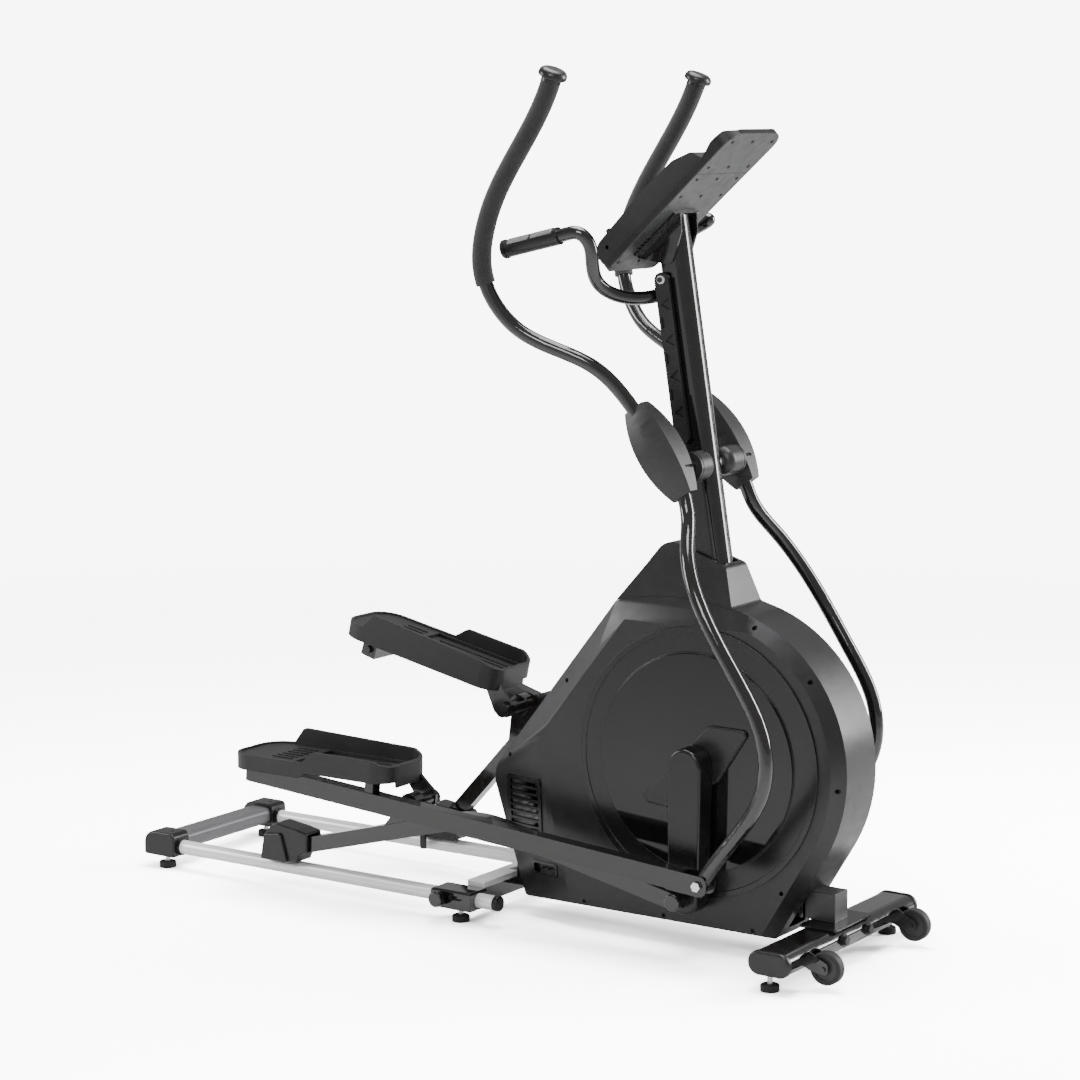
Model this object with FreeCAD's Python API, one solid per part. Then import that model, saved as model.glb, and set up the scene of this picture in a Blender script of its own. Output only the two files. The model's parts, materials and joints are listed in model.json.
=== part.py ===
"""Front-drive elliptical trainer, 1.70 m long, with rail-guided pedals and moving handles.

Frame: +X is the way the rider faces, +Y is the rider's left, +Z is up, and the origin is on
the floor under the middle of the footprint. Sizes are in millimetres and angles in degrees.
"""
import FreeCAD
import Part
import os
from math import atan2, cos, degrees, hypot, pi, radians, sin, sqrt

V = FreeCAD.Vector

# ---- driving dimensions ------------------------------------------------------------------
# linkage, seen from the side
SWING_X, SWING_Z = 452.0, 943.0        # axle that both swing arms hang on
SWING_LOW_X, SWING_LOW_Z = 109.0, -771.0   # pedal joint, from the swing axle, arm at rest
CRANK_X, CRANK_Z = 480.0, 372.0        # crank axle
CRANK_RADIUS = 254.0
ROLLER_BAR_LENGTH = 950.0              # rail roller to crank pin
ROLLER_RADIUS = 24.0
PEDAL_PIVOT_U, PEDAL_PIVOT_W = 328.0, 127.0   # pedal hinge, along and above the roller bar
PEDAL_LINK = 710.0                     # pedal hinge to swing-arm joint
RIGHT_CRANK_ANGLE, LEFT_CRANK_ANGLE = 270.0, 90.0   # 0 is forward, 90 is up

# planes across the machine, as distances from its middle
ROLLER_BAR_Y = 166.0
PEDAL_BAR_Y = 211.0
CRANK_INNER_Y, CRANK_OUTER_Y = 100.0, 147.0

# rails
RAIL_TOP, RAIL_R, RAIL_WALL = 64.0, 15.0, 2.5
RAIL_REAR, RAIL_FRONT = -795.0, 58.0

# tubes
SWING_TUBE_R, SWING_WALL = 14.0, 2.0
FOAM_R = 18.8
PULSE_TUBE_R = 13.0
PULSE_GRIP_R = 17.0

# mast: a line leaning back from the collar to the console
MAST_FOOT_X, MAST_FOOT_Z = 467.0, 758.0
MAST_LEAN = 9.1
MAST_DEPTH, MAST_WIDTH, MAST_WALL = 56.0, 54.0, 2.5

# shroud
SHROUD_EDGE_Y, SHROUD_SIDE_Y, SHROUD_WALL = 58.0, 82.0, 4.0
SHROUD_RIM_R, PANEL_RIM_R = 306.0, 282.0
RIM_LOW, RIM_HIGH = -31.0, 75.0       # angles at which the round rim starts and ends
DISC_X, DISC_R, GLOSS_DISC_R = 473.0, 265.0, 216.0
DISC_Y, GLOSS_Y, BOSS_Y = 86.0, 90.0, 98.0

# front stabilizer
STAB_X, STAB_Z, STAB_DEPTH, STAB_HEIGHT, STAB_HALF = 735.0, 57.0, 86.0, 44.0, 250.0
WHEEL_X, WHEEL_Y, WHEEL_Z, WHEEL_R, WHEEL_WIDTH = 814.0, 178.0, 44.0, 32.0, 22.0

# console: a slope that rises forward from its lower rear edge
CONSOLE_X, CONSOLE_Z, CONSOLE_SLOPE = 265.0, 1308.0, 42.5
CONSOLE_LENGTH, CONSOLE_HALF = 389.0, 98.0

# drive inside the shroud
PULLEY_R, PULLEY_IN, PULLEY_OUT = 158.0, 61.5, 73.5
FLY_X, FLY_Z, FLY_R, FLY_HUB_R = 165.0, 278.0, 118.0, 20.0

# fits
SLIP = 0.08            # radial clearance of a pin in its bush
GAP = 0.4              # least gap between pieces that move past each other


# ---- small builders ------------------------------------------------------------------------
def box(x0, x1, y0, y1, z0, z1):
    return Part.makeBox(x1 - x0, y1 - y0, z1 - z0, V(x0, y0, z0))


def rod_y(x, z, radius, y0, y1):
    low, high = min(y0, y1), max(y0, y1)
    return Part.makeCylinder(radius, high - low, V(x, low, z), V(0, 1, 0))


def rod_z(x, y, radius, z0, z1):
    return Part.makeCylinder(radius, z1 - z0, V(x, y, z0), V(0, 0, 1))


def rod_x(y, z, radius, x0, x1):
    return Part.makeCylinder(radius, x1 - x0, V(x0, y, z), V(1, 0, 0))


def rounded_wire(corners, place):
    """Closed wire through corners (a, b, radius); place(a, b) gives the point in space."""
    edges, ends = [], []
    count = len(corners)
    for i, (a, b, r) in enumerate(corners):
        pa, pb = corners[i - 1][:2]
        na, nb = corners[(i + 1) % count][:2]
        back, ahead = hypot(pa - a, pb - b), hypot(na - a, nb - b)
        ua, ub = (pa - a) / back, (pb - b) / back
        wa, wb = (na - a) / ahead, (nb - b) / ahead
        half = atan2(abs(ua * wb - ub * wa), ua * wa + ub * wb) / 2
        reach = r * cos(half) / sin(half)
        middle = r / sin(half) - r
        length = hypot(ua + wa, ub + wb)
        start = place(a + ua * reach, b + ub * reach)
        mid = place(a + (ua + wa) / length * middle, b + (ub + wb) / length * middle)
        end = place(a + wa * reach, b + wb * reach)
        ends.append((start, end))
        edges.append(Part.Arc(start, mid, end).toShape())
    wire = []
    for i, edge in enumerate(edges):
        wire.append(edge)
        wire.append(Part.makeLine(ends[i][1], ends[(i + 1) % count][0]))
    return Part.Wire(wire)


def plate_y(corners, y0, y1):
    """Rounded outline in the XZ plane, as thick as y0 to y1."""
    wire = rounded_wire(corners, lambda x, z: V(x, y0, z))
    return Part.Face(wire).extrude(V(0, y1 - y0, 0))


def plate_z(corners, z0, z1):
    """Rounded outline in the XY plane, as thick as z0 to z1."""
    wire = rounded_wire(corners, lambda x, y: V(x, y, z0))
    return Part.Face(wire).extrude(V(0, 0, z1 - z0))


def rectangle(a0, a1, b0, b1, radius):
    return [(a0, b0, radius), (a1, b0, radius), (a1, b1, radius), (a0, b1, radius)]


def fuse(shapes):
    whole = shapes[0]
    for shape in shapes[1:]:
        whole = whole.fuse(shape)
    return whole.removeSplitter()


def cut(shape, tools):
    for tool in tools:
        shape = shape.cut(tool)
    return shape


def mirrored(shape):
    """The same piece on the other side of the machine."""
    return shape.mirror(V(0, 0, 0), V(0, 1, 0))


def both_sides(shape):
    return Part.makeCompound([shape, mirrored(shape)])


def pitched(shape, x, z, pitch):
    """Turn a piece built along +X nose-up by pitch, then carry it to (x, z)."""
    turned = shape.copy()
    turned.rotate(V(0, 0, 0), V(0, 1, 0), -pitch)
    turned.translate(V(x, 0, z))
    return turned


def sweep(spine, radius):
    """Round bar along a curve."""
    start = spine.FirstParameter
    normal = spine.tangent(start)[0]
    ring = Part.Circle(spine.value(start), normal, radius).toShape()
    return Part.Wire(spine.toShape()).makePipeShell([Part.Wire(ring)], True, False)


def spline(points):
    curve = Part.BSplineCurve()
    curve.interpolate(points)
    return curve


# ---- linkage positions ---------------------------------------------------------------------
def linkage(crank_angle):
    """Where the joints of one side are, for a crank angle."""
    pin_x = CRANK_X + CRANK_RADIUS * cos(radians(crank_angle))
    pin_z = CRANK_Z + CRANK_RADIUS * sin(radians(crank_angle))
    roller_z = RAIL_TOP + ROLLER_RADIUS + GAP
    roller_x = pin_x - sqrt(ROLLER_BAR_LENGTH ** 2 - (pin_z - roller_z) ** 2)
    bar_pitch = atan2(pin_z - roller_z, pin_x - roller_x)
    hinge_x = roller_x + PEDAL_PIVOT_U * cos(bar_pitch) - PEDAL_PIVOT_W * sin(bar_pitch)
    hinge_z = roller_z + PEDAL_PIVOT_U * sin(bar_pitch) + PEDAL_PIVOT_W * cos(bar_pitch)
    swing_radius = hypot(SWING_LOW_X, SWING_LOW_Z)
    dx, dz = hinge_x - SWING_X, hinge_z - SWING_Z
    apart = hypot(dx, dz)
    along = (swing_radius ** 2 - PEDAL_LINK ** 2 + apart ** 2) / (2 * apart)
    aside = sqrt(swing_radius ** 2 - along ** 2)
    low_x = SWING_X + (along * dx - aside * dz) / apart
    low_z = SWING_Z + (along * dz + aside * dx) / apart
    rest = atan2(SWING_LOW_Z, SWING_LOW_X)
    swing = atan2(low_z - SWING_Z, low_x - SWING_X) - rest
    pedal_pitch = atan2(low_z - hinge_z, low_x - hinge_x)
    return {"roller": (roller_x, roller_z), "bar_pitch": degrees(bar_pitch),
            "hinge": (hinge_x, hinge_z), "pedal_pitch": degrees(pedal_pitch),
            "swing": degrees(swing), "low": (low_x, low_z)}


# ---- base frame ------------------------------------------------------------------------------
BEAM_HALF, BEAM_LOW, BEAM_HIGH = 30.0, 85.0, 135.0
BEAM_REAR, BEAM_FRONT = 75.0, 680.0
CROSS_X0, CROSS_X1 = -28.0, 6.0
POST_X0, POST_X1, POST_HALF, POST_TOP = 682.0, 747.0, 26.0, 139.0
AXLE_R = 10.0
BEARING_R, BEARING_INNER_Y, BEARING_OUTER_Y = 17.0, 48.0, 60.0


def mast_x(z):
    return MAST_FOOT_X - (z - MAST_FOOT_Z) * sin(radians(MAST_LEAN)) / cos(radians(MAST_LEAN))


def along_mast(shape):
    """Carry a piece built round the Z axis onto the leaning mast line."""
    leaned = shape.copy()
    leaned.rotate(V(0, 0, 0), V(0, 1, 0), -MAST_LEAN)
    leaned.translate(V(MAST_FOOT_X, 0, MAST_FOOT_Z))
    return leaned


def hollow_box(x0, x1, y0, y1, z0, z1, wall):
    return box(x0, x1, y0, y1, z0, z1).cut(
        box(x0 - 1, x1 + 1, y0 + wall, y1 - wall, z0 + wall, z1 - wall))


def main_frame():
    """Welded steel frame: base beam, lower mast post, crank housing and rear cross tube."""
    beam = hollow_box(BEAM_REAR, BEAM_FRONT, -BEAM_HALF, BEAM_HALF, BEAM_LOW, BEAM_HIGH, 3)
    tongue = box(CROSS_X1 - 1, BEAM_REAR + 4, -12, 12, 46, 128)
    cross = box(CROSS_X0, CROSS_X1, -138, 138, 34, 64)
    post = along_mast(box(-26, 26, -26, 26, -640, -70))
    post = post.common(box(0, 900, -60, 60, BEAM_HIGH - 2, 900))
    housing = rod_y(CRANK_X, CRANK_Z, BEARING_R + 5, -BEARING_OUTER_Y, BEARING_OUTER_Y)
    web = box(CRANK_X, CRANK_X + 50, -20, 20, CRANK_Z - 24, CRANK_Z + 24)
    fork_corners = [(FLY_X - 16, BEAM_HIGH - 6, 3), (FLY_X + 16, BEAM_HIGH - 6, 3),
                    (FLY_X + 16, FLY_Z + 16, 12), (FLY_X - 16, FLY_Z + 16, 12)]
    fork = plate_y(fork_corners, 24, 29)
    frame = fuse([beam, tongue, cross, post, housing, web, fork, mirrored(fork)])
    bore = rod_y(CRANK_X, CRANK_Z, AXLE_R + 1.5, -80, 80)
    seat = rod_y(CRANK_X, CRANK_Z, BEARING_R, BEARING_INNER_Y, 80)
    hub = rod_y(FLY_X, FLY_Z, 7, -40, 40)
    return cut(frame, [bore, seat, mirrored(seat), hub])


def crank_bearings():
    ring = rod_y(CRANK_X, CRANK_Z, BEARING_R, BEARING_INNER_Y, BEARING_OUTER_Y)
    ring = ring.cut(rod_y(CRANK_X, CRANK_Z, AXLE_R + SLIP, 0, 100))
    return both_sides(ring)


def front_post():
    """Grey riser between the base beam and the stabilizer, with its saddle plate."""
    post = box(POST_X0, POST_X1, -POST_HALF, POST_HALF, 84, POST_TOP)
    hollow = box(POST_X0 + 3, POST_X1 - 3, -POST_HALF + 3, POST_HALF - 3, 83, POST_TOP - 3)
    saddle = plate_z(rectangle(STAB_X - 40, STAB_X + 40, -74, 74, 8), 79, 84)
    return fuse([post.cut(hollow), saddle])


def stabilizer_outline(shrink):
    half_x, half_z = STAB_DEPTH / 2 - shrink, STAB_HEIGHT / 2 - shrink
    return rectangle(STAB_X - half_x, STAB_X + half_x, STAB_Z - half_z, STAB_Z + half_z,
                     half_z - 0.5)


def front_stabilizer():
    """Flat-oval cross tube under the nose."""
    tube = plate_y(stabilizer_outline(0), -STAB_HALF, STAB_HALF)
    return tube.cut(plate_y(stabilizer_outline(2.5), -STAB_HALF - 1, STAB_HALF + 1))


def stabilizer_end_caps():
    cap = plate_y(stabilizer_outline(-1.5), STAB_HALF, STAB_HALF + 12)
    outer_edges = [e for e in cap.Edges if e.BoundBox.YMin > STAB_HALF + 11]
    cap = cap.makeFillet(6, outer_edges)
    plug = plate_y(stabilizer_outline(2.8), STAB_HALF - 18, STAB_HALF)
    return both_sides(fuse([cap, plug]))


FEET = [(-802.0, 167.0, 28.0), (-27.0, 166.0, 30.0), (725.0, 235.0, 34.0)]
FOOT_R, FOOT_HEIGHT = 18.0, 13.0


def levelling_feet():
    """Six rubber feet on steel studs: x, y and the height of the face each stud enters."""
    pieces = []
    for x, y, face in FEET:
        pad = rod_z(x, y, FOOT_R, 0, FOOT_HEIGHT)
        pad = pad.makeFillet(2, [e for e in pad.Edges if e.BoundBox.ZMin > FOOT_HEIGHT - 1])
        stud = rod_z(x, y, 5, FOOT_HEIGHT, face)
        for piece in (pad, stud):
            pieces += [piece, mirrored(piece)]
    return Part.makeCompound(pieces)


def hex_head(x, z, y0, y1, across):
    points = [V(x + across * cos(k * pi / 3), y0, z + across * sin(k * pi / 3))
              for k in range(7)]
    return Part.Face(Part.makePolygon(points)).extrude(V(0, y1 - y0, 0))


STAB_FRONT = STAB_X + STAB_DEPTH / 2
STAB_BOLT_Y = 48.0


def frame_bolts():
    """Stabilizer bolts with washers, and the ring bolts at the top of the mast straps."""
    pieces = []
    for side in (-1, 1):
        y = side * STAB_BOLT_Y
        washer = rod_x(y, STAB_Z + 4, 13, STAB_FRONT, STAB_FRONT + 2.5)
        head = hex_head(0, 0, 0, 7, 9.5)
        head.rotate(V(0, 0, 0), V(0, 0, 1), -90)
        head.translate(V(STAB_FRONT + 2.5, y, STAB_Z + 4))
        pieces += [washer, head]
        bolt = rod_y(0, 0, 8, 0, 4).fuse(rod_y(0, 0, 5, 4, 8))
        bolt.translate(V(STRAP_OFFSET, STRAP_OUTER_Y, 0))
        bolt = along_mast(bolt)
        rise = STRAP_BOLT_Z - MAST_FOOT_Z
        lean = radians(MAST_LEAN)
        bolt.translate(V(-rise * sin(lean) / cos(lean), 0, rise))
        pieces.append(bolt if side > 0 else mirrored(bolt))
    return Part.makeCompound(pieces)


def wheel_brackets():
    """Forks that carry the two transport wheels ahead of the stabilizer."""
    cheek_in = WHEEL_WIDTH / 2 + 2
    arm = [(STAB_FRONT - 6, STAB_Z - 12, 4), (STAB_FRONT + 10, STAB_Z - 19, 4),
           (WHEEL_X + 10, WHEEL_Z - 11, 8), (WHEEL_X + 10, WHEEL_Z + 11, 8),
           (STAB_FRONT + 6, STAB_Z + 17, 6), (STAB_FRONT - 6, STAB_Z + 12, 4)]
    blades = [plate_y(arm, WHEEL_Y + s * cheek_in, WHEEL_Y + s * (cheek_in + 4))
              for s in (-1, 1)]
    back = box(STAB_FRONT - 4, STAB_FRONT + 1.2, WHEEL_Y - cheek_in - 1, WHEEL_Y + cheek_in + 1,
               STAB_Z - 11, STAB_Z + 11)
    pin = rod_y(WHEEL_X, WHEEL_Z, 5, WHEEL_Y - cheek_in - 7, WHEEL_Y + cheek_in + 7)
    tube = plate_y(stabilizer_outline(0), 100, 240)
    return both_sides(fuse(blades + [back]).cut(tube).fuse(pin))


def transport_wheel(side):
    y = side * WHEEL_Y
    half = WHEEL_WIDTH / 2
    tyre = rod_y(WHEEL_X, WHEEL_Z, WHEEL_R, y - half, y + half)
    rims = [e for e in tyre.Edges if e.Length > 6 * WHEEL_R]
    tyre = tyre.makeFillet(4, rims)
    for s in (-1, 1):
        face = y + s * half
        groove = rod_y(WHEEL_X, WHEEL_Z, 23, face - s * 3, face).cut(
            rod_y(WHEEL_X, WHEEL_Z, 11, face - s * 4, face + s))
        tyre = tyre.cut(groove)
    return tyre.cut(rod_y(WHEEL_X, WHEEL_Z, 5 + SLIP, y - 20, y + 20))


# ---- rails -------------------------------------------------------------------------------------
CLAMP_X0, CLAMP_X1, CLAMP_TOP = -80.0, 18.0, 68.0
CAP_X0, CAP_X1, CAP_TOP, CAP_LOW = -847.0, -764.0, 80.0, 28.0
CAP_IN, CAP_OUT = 142.0, 192.0
REAR_TUBE_X = -800.0


def rail_solid(grow=0.0):
    return rod_x(ROLLER_BAR_Y, RAIL_TOP - RAIL_R, RAIL_R + grow, RAIL_REAR, RAIL_FRONT)


def slide_rails():
    """Two round aluminium tubes."""
    hollow = rod_x(ROLLER_BAR_Y, RAIL_TOP - RAIL_R, RAIL_R - RAIL_WALL, RAIL_REAR - 1,
                   RAIL_FRONT + 1)
    return both_sides(rail_solid().cut(hollow))


def rear_tube_outline(shrink):
    return rectangle(REAR_TUBE_X - 30 + shrink, REAR_TUBE_X + 30 - shrink,
                     36 + shrink, 72 - shrink, 12 - shrink)


def rear_cross_tube():
    tube = plate_y(rear_tube_outline(0), -CAP_IN - 8, CAP_IN + 8)
    return cut(tube, [plate_y(rear_tube_outline(2.5), -CAP_IN - 9, CAP_IN + 9),
                      rail_solid(GAP), mirrored(rail_solid(GAP))])


def rail_end_caps():
    """Black covers over the rear rail ends, and plugs in the front rail ends."""
    cap = plate_y([(CAP_X0, CAP_LOW, 5), (CAP_X1, CAP_LOW, 5), (CAP_X1, CAP_TOP, 12),
                   (CAP_X0, CAP_TOP, 26)], CAP_IN, CAP_OUT)
    cap = cap.makeFillet(4, [e for e in cap.Edges if e.BoundBox.YMin > CAP_OUT - 1])
    ring = rod_x(ROLLER_BAR_Y, RAIL_TOP - RAIL_R, RAIL_R + 3, CAP_X1 - 10, CAP_X1 + 7)
    screw_hole = rod_z(REAR_TUBE_X + 12, ROLLER_BAR_Y, 4, CAP_TOP - 3, CAP_TOP + 1)
    cap = cut(cap.fuse(ring), [rail_solid(), plate_y(rear_tube_outline(0), 0, CAP_IN + 8),
                               screw_hole])
    plug = rod_x(ROLLER_BAR_Y, RAIL_TOP - RAIL_R, RAIL_R + 1, RAIL_FRONT, RAIL_FRONT + 12)
    plug = plug.makeFillet(4, [e for e in plug.Edges if e.BoundBox.XMin > RAIL_FRONT + 11])
    return Part.makeCompound([cap, mirrored(cap), plug, mirrored(plug)])


def rail_clamps():
    """Saddles that hold the rails at the front, with the plates and knobs that lock them."""
    low, inner, outer = 30.0, 138.0, 196.0
    saddle = box(CLAMP_X0, CLAMP_X1, inner, outer, low, CLAMP_TOP)
    saddle = saddle.makeFillet(5, [e for e in saddle.Edges if e.BoundBox.ZMin > CLAMP_TOP - 1])
    window = plate_y(rectangle(-34, -4, 50, 58, 3.8), outer - 6, outer + 1)
    saddle = cut(saddle, [rail_solid(), window])
    shank = rod_y(-54, 51, 6, outer, outer + 8)
    knob = rod_y(-54, 51, 16, outer + 8, outer + 24)
    knob = knob.makeFillet(3, [e for e in knob.Edges if e.Length > 90])
    peg = rod_z(-54, ROLLER_BAR_Y, 9, 24, low)
    knob = fuse([shank, knob])
    pieces = [fuse([saddle, peg]), knob]
    return Part.makeCompound(pieces + [mirrored(p) for p in pieces])


def rail_cross_plate():
    """Bright flat bar on the cross tube, between the rails."""
    plate = plate_z(rectangle(-32, 10, -137, 137, 3), 66, 78)
    foot = box(CROSS_X0 + 4, CROSS_X1 - 4, -120, 120, 64, 66)
    return cut(plate.fuse(foot), [box(-12, 30, -18, 18, 60, 90)])


# ---- shroud ------------------------------------------------------------------------------------
def rim_corner(radius):
    """Corner that the round rim, an arc of this radius about the crank, rounds off."""
    half = radians(RIM_HIGH - RIM_LOW) / 2
    middle = radians(RIM_HIGH + RIM_LOW) / 2
    reach = radius / cos(half)
    return CRANK_X + reach * cos(middle), CRANK_Z + reach * sin(middle)


def outer_outline(shrink):
    """Silhouette of the shroud's middle band, moved inwards by shrink."""
    rim_x, rim_z = rim_corner(SHROUD_RIM_R - shrink)
    return [(58 + shrink, 42 + shrink, 8), (638 - shrink / 2, 42 + shrink, 8),
            (rim_x, rim_z, SHROUD_RIM_R - shrink), (532 - shrink, 675 - shrink / 2, 8),
            (508 - shrink, 750 - shrink, 12), (372 + shrink / 2, 795 - shrink, 40),
            (-24 + 1.2 * shrink, 290, 60 - shrink)]


def panel_outline(shrink):
    """Edge of the flat side panel, moved inwards by shrink."""
    rim_x, rim_z = rim_corner(PANEL_RIM_R - shrink)
    return [(186 + shrink, 50 + shrink, 8), (618 - shrink / 2, 50 + shrink, 8),
            (rim_x, rim_z, PANEL_RIM_R - shrink), (524 - shrink, 652 - shrink / 2, 8),
            (500 - shrink, 735 - shrink, 12), (402 + shrink / 2, 760 - shrink, 30),
            (99 + 1.2 * shrink, 366, 60 - shrink)]


SHOULDER = [(82.0, 636.0), (60.0, 664.0), (40.0, 745.0), (33.0, 800.0)]


def above_shoulder(shrink):
    """Space beside the neck of the shroud, where its sides close in towards the mast."""
    points = [V(0, -y + shrink, z - shrink / 2) for y, z in SHOULDER]
    points += [V(0, points[-1].y, 900), V(0, -130, 900), V(0, -130, points[0].z)]
    return Part.Face(Part.makePolygon(points + points[:1])).extrude(V(900, 0, 0))


def shroud_half(shrink):
    """Solid right half of the shroud: a flat band, then a slope up to the side panel."""
    edge, side = -SHROUD_EDGE_Y + shrink / 2, -SHROUD_SIDE_Y + shrink
    band = plate_y(outer_outline(shrink), 0, edge)
    wires = [rounded_wire(outer_outline(shrink), lambda x, z: V(x, edge, z)),
             rounded_wire(panel_outline(shrink), lambda x, z: V(x, side, z))]
    return band.fuse(Part.makeLoft(wires, True, True)).cut(above_shoulder(shrink))


COLLAR_SEAM_X, COLLAR_SEAM_Z, COLLAR_SEAM_R = 412.0, 140.0, 545.0


def collar_zone(step):
    """Everything above the shallow arc on which the collar sits."""
    zone = box(200, 534 - step, -120, 120, 560, 900)
    return zone.cut(rod_y(COLLAR_SEAM_X, COLLAR_SEAM_Z, COLLAR_SEAM_R + step, -130, 130))


def mast_clear(grow):
    half_x, half_y = MAST_DEPTH / 2 + grow, MAST_WIDTH / 2 + grow
    return along_mast(box(-half_x, half_x, -half_y, half_y, -200, 200))


VENT_HALF_W, VENT_HALF_H, VENT_SLOTS = 46.0, 62.0, 8
VENT_PLACE = (64.0, -69.4, 230.0, 9.7)      # x, y, z and turn about the vertical
INLET_PLACE = (114.0, -71.6, 108.0, 10.2)
BEVEL_TILT = 2.8


def on_bevel(shape, x, y, z, turn):
    """Carry a plate built flat in XZ, its face outwards, onto the rear bevel of the right shell."""
    turned = shape.copy()
    turned.rotate(V(0, 0, 0), V(1, 0, 0), BEVEL_TILT)
    turned.rotate(V(0, 0, 0), V(0, 0, 1), -turn)
    turned.translate(V(x, y, z))
    return turned


def vent_plate(grow, y0, y1):
    outline = rectangle(-VENT_HALF_W - grow, VENT_HALF_W + grow,
                        -VENT_HALF_H - grow, VENT_HALF_H + grow, 8)
    return plate_y(outline, y0, y1)


def shroud_vents():
    """Slatted grilles let into the rear bevels of both shells."""
    grille = vent_plate(0, -2.5, 3.5)
    pitch = 2 * (VENT_HALF_H - 8) / VENT_SLOTS
    for k in range(VENT_SLOTS):
        z = -VENT_HALF_H + 8 + (k + 0.5) * pitch
        slot = rectangle(-VENT_HALF_W + 8, VENT_HALF_W - 8, z - 4.2, z + 4.2, 2)
        grille = grille.cut(plate_y(slot, -4, 5))
    return both_sides(on_bevel(grille, *VENT_PLACE))


def power_inlet():
    """Low-voltage inlet set into the rear of the right shell, its mouth outwards."""
    body = plate_y(rectangle(-35, 35, -14, 14, 6), -2, 12)
    recess = plate_y(rectangle(-30, 30, -9, 9, 5), -4, 7)
    contacts = [rod_y(x, 0, 1.6, -1, 7) for x in (-8, 8)]
    return on_bevel(fuse([body.cut(recess)] + contacts), *INLET_PLACE)


SCREW_R, SCREW_SINK, SCREW_DEPTH = 4.5, 3.0, 9.0


def shell_screw_places():
    """Side screws of a shell: x, z and how far from the middle the shell's face is there."""
    places = [(x, 58.0, SHROUD_SIDE_Y) for x in (215.0, 400.0, 600.0)]
    for angle in (-52, -4, 38, 68):
        reach = (SHROUD_RIM_R + PANEL_RIM_R) / 2
        places.append((CRANK_X + reach * cos(radians(angle)), CRANK_Z + reach * sin(radians(angle)),
                       (SHROUD_SIDE_Y + SHROUD_EDGE_Y) / 2))
    return places + [(163.0, 497.0, 66.0), (24.0, 330.0, 63.0)]


def shroud_shell(with_inlet):
    """One shell, hollow and open at the seam: the right one has the inlet, the left has not."""
    shell = shroud_half(0).cut(shroud_half(SHROUD_WALL))
    axle_hole = rod_y(CRANK_X, CRANK_Z, AXLE_R + 6, -120, 0)
    front = box(POST_X0 - 60, POST_X1 + 10, -BEAM_HALF - 1, 1, 60, POST_TOP + 1)
    rear = box(-40, BEAM_REAR + 8, -13, 1, 30, 130)
    vent = on_bevel(vent_plate(0.2, -20, 20), *VENT_PLACE)
    pockets = [rod_y(x, z, SCREW_R + 0.1, -100, -face + SCREW_DEPTH)
               for x, z, face in shell_screw_places()]
    shell = cut(shell, [collar_zone(0), axle_hole, front, rear, mast_clear(3), vent] + pockets)
    if not with_inlet:
        return mirrored(shell)
    inlet = on_bevel(plate_y(rectangle(-35.2, 35.2, -14.2, 14.2, 6), -20, 20), *INLET_PLACE)
    return shell.cut(inlet)


def collar():
    """Separate top piece of the shroud, closed round the foot of the mast."""
    full = shroud_half(0).fuse(mirrored(shroud_half(0)))
    hollow = shroud_half(SHROUD_WALL).fuse(mirrored(shroud_half(SHROUD_WALL)))
    ring = full.cut(hollow).common(collar_zone(0.4))
    return ring.cut(along_mast(plate_z(rectangle(-30.5, 29, -30.2, 30.2, 5), -40, 200)))


def side_discs():
    """Round side covers: a dished ring with a raised gloss disc."""
    ring = rod_y(DISC_X, CRANK_Z, DISC_R, SHROUD_SIDE_Y, DISC_Y)
    groove = rod_y(DISC_X, CRANK_Z, DISC_R - 12, DISC_Y - 1.6, DISC_Y + 1).cut(
        rod_y(DISC_X, CRANK_Z, GLOSS_DISC_R, 0, 200))
    gloss = rod_y(DISC_X, CRANK_Z, GLOSS_DISC_R - 3, DISC_Y, GLOSS_Y)
    disc = fuse([ring.cut(groove), gloss])
    return both_sides(disc.cut(rod_y(CRANK_X, CRANK_Z, AXLE_R + 6, 0, 200)))


def crank_boss_covers():
    """Raised five-sided covers round the crank axle."""
    corners = [(346, 286, 14), (423, 277, 10), (528, 344, 10), (597, 449, 10), (505, 450, 14)]
    cover = plate_y(corners, GLOSS_Y, BOSS_Y)
    cover = cover.makeChamfer(3, [e for e in cover.Edges if e.BoundBox.YMin > BOSS_Y - 1])
    return both_sides(cover.cut(rod_y(CRANK_X, CRANK_Z, AXLE_R + 6, 0, 200)))


def cover_screws():
    """Sunk screws round the shells and in rows on the back of the console."""
    pieces = []
    for x, z, face in shell_screw_places():
        screw = rod_y(x, z, SCREW_R, -face + SCREW_SINK, -face + SCREW_DEPTH)
        pieces += [screw, mirrored(screw)]
    for along in CONSOLE_SCREW_ROWS:
        for y in (-74, 0, 74):
            screw = rod_z(along, y, 3.2, -1.2, 0)
            pieces.append(pitched(screw, CONSOLE_X, CONSOLE_Z, CONSOLE_SLOPE))
    return Part.makeCompound(pieces)


# ---- drive -------------------------------------------------------------------------------------
def crank_axle():
    """Axle with the bosses that the crank arms are keyed to."""
    return rod_y(CRANK_X, CRANK_Z, AXLE_R, -CRANK_INNER_Y - 12, CRANK_INNER_Y + 12)


def drive_pulley():
    inner, outer = PULLEY_IN, PULLEY_OUT
    wheel = rod_y(CRANK_X, CRANK_Z, PULLEY_R, inner, outer)
    dish = rod_y(CRANK_X, CRANK_Z, PULLEY_R - 14, inner - 1, inner + 4).cut(
        rod_y(CRANK_X, CRANK_Z, 30, 0, 200))
    dish_out = rod_y(CRANK_X, CRANK_Z, PULLEY_R - 14, outer - 4, outer + 1).cut(
        rod_y(CRANK_X, CRANK_Z, 30, 0, 200))
    holes = [rod_y(CRANK_X + 90 * cos(k * pi / 3), CRANK_Z + 90 * sin(k * pi / 3), 26, 0, 200)
             for k in range(6)]
    return cut(wheel, [dish, dish_out, rod_y(CRANK_X, CRANK_Z, AXLE_R, 0, 200)] + holes)


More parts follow.
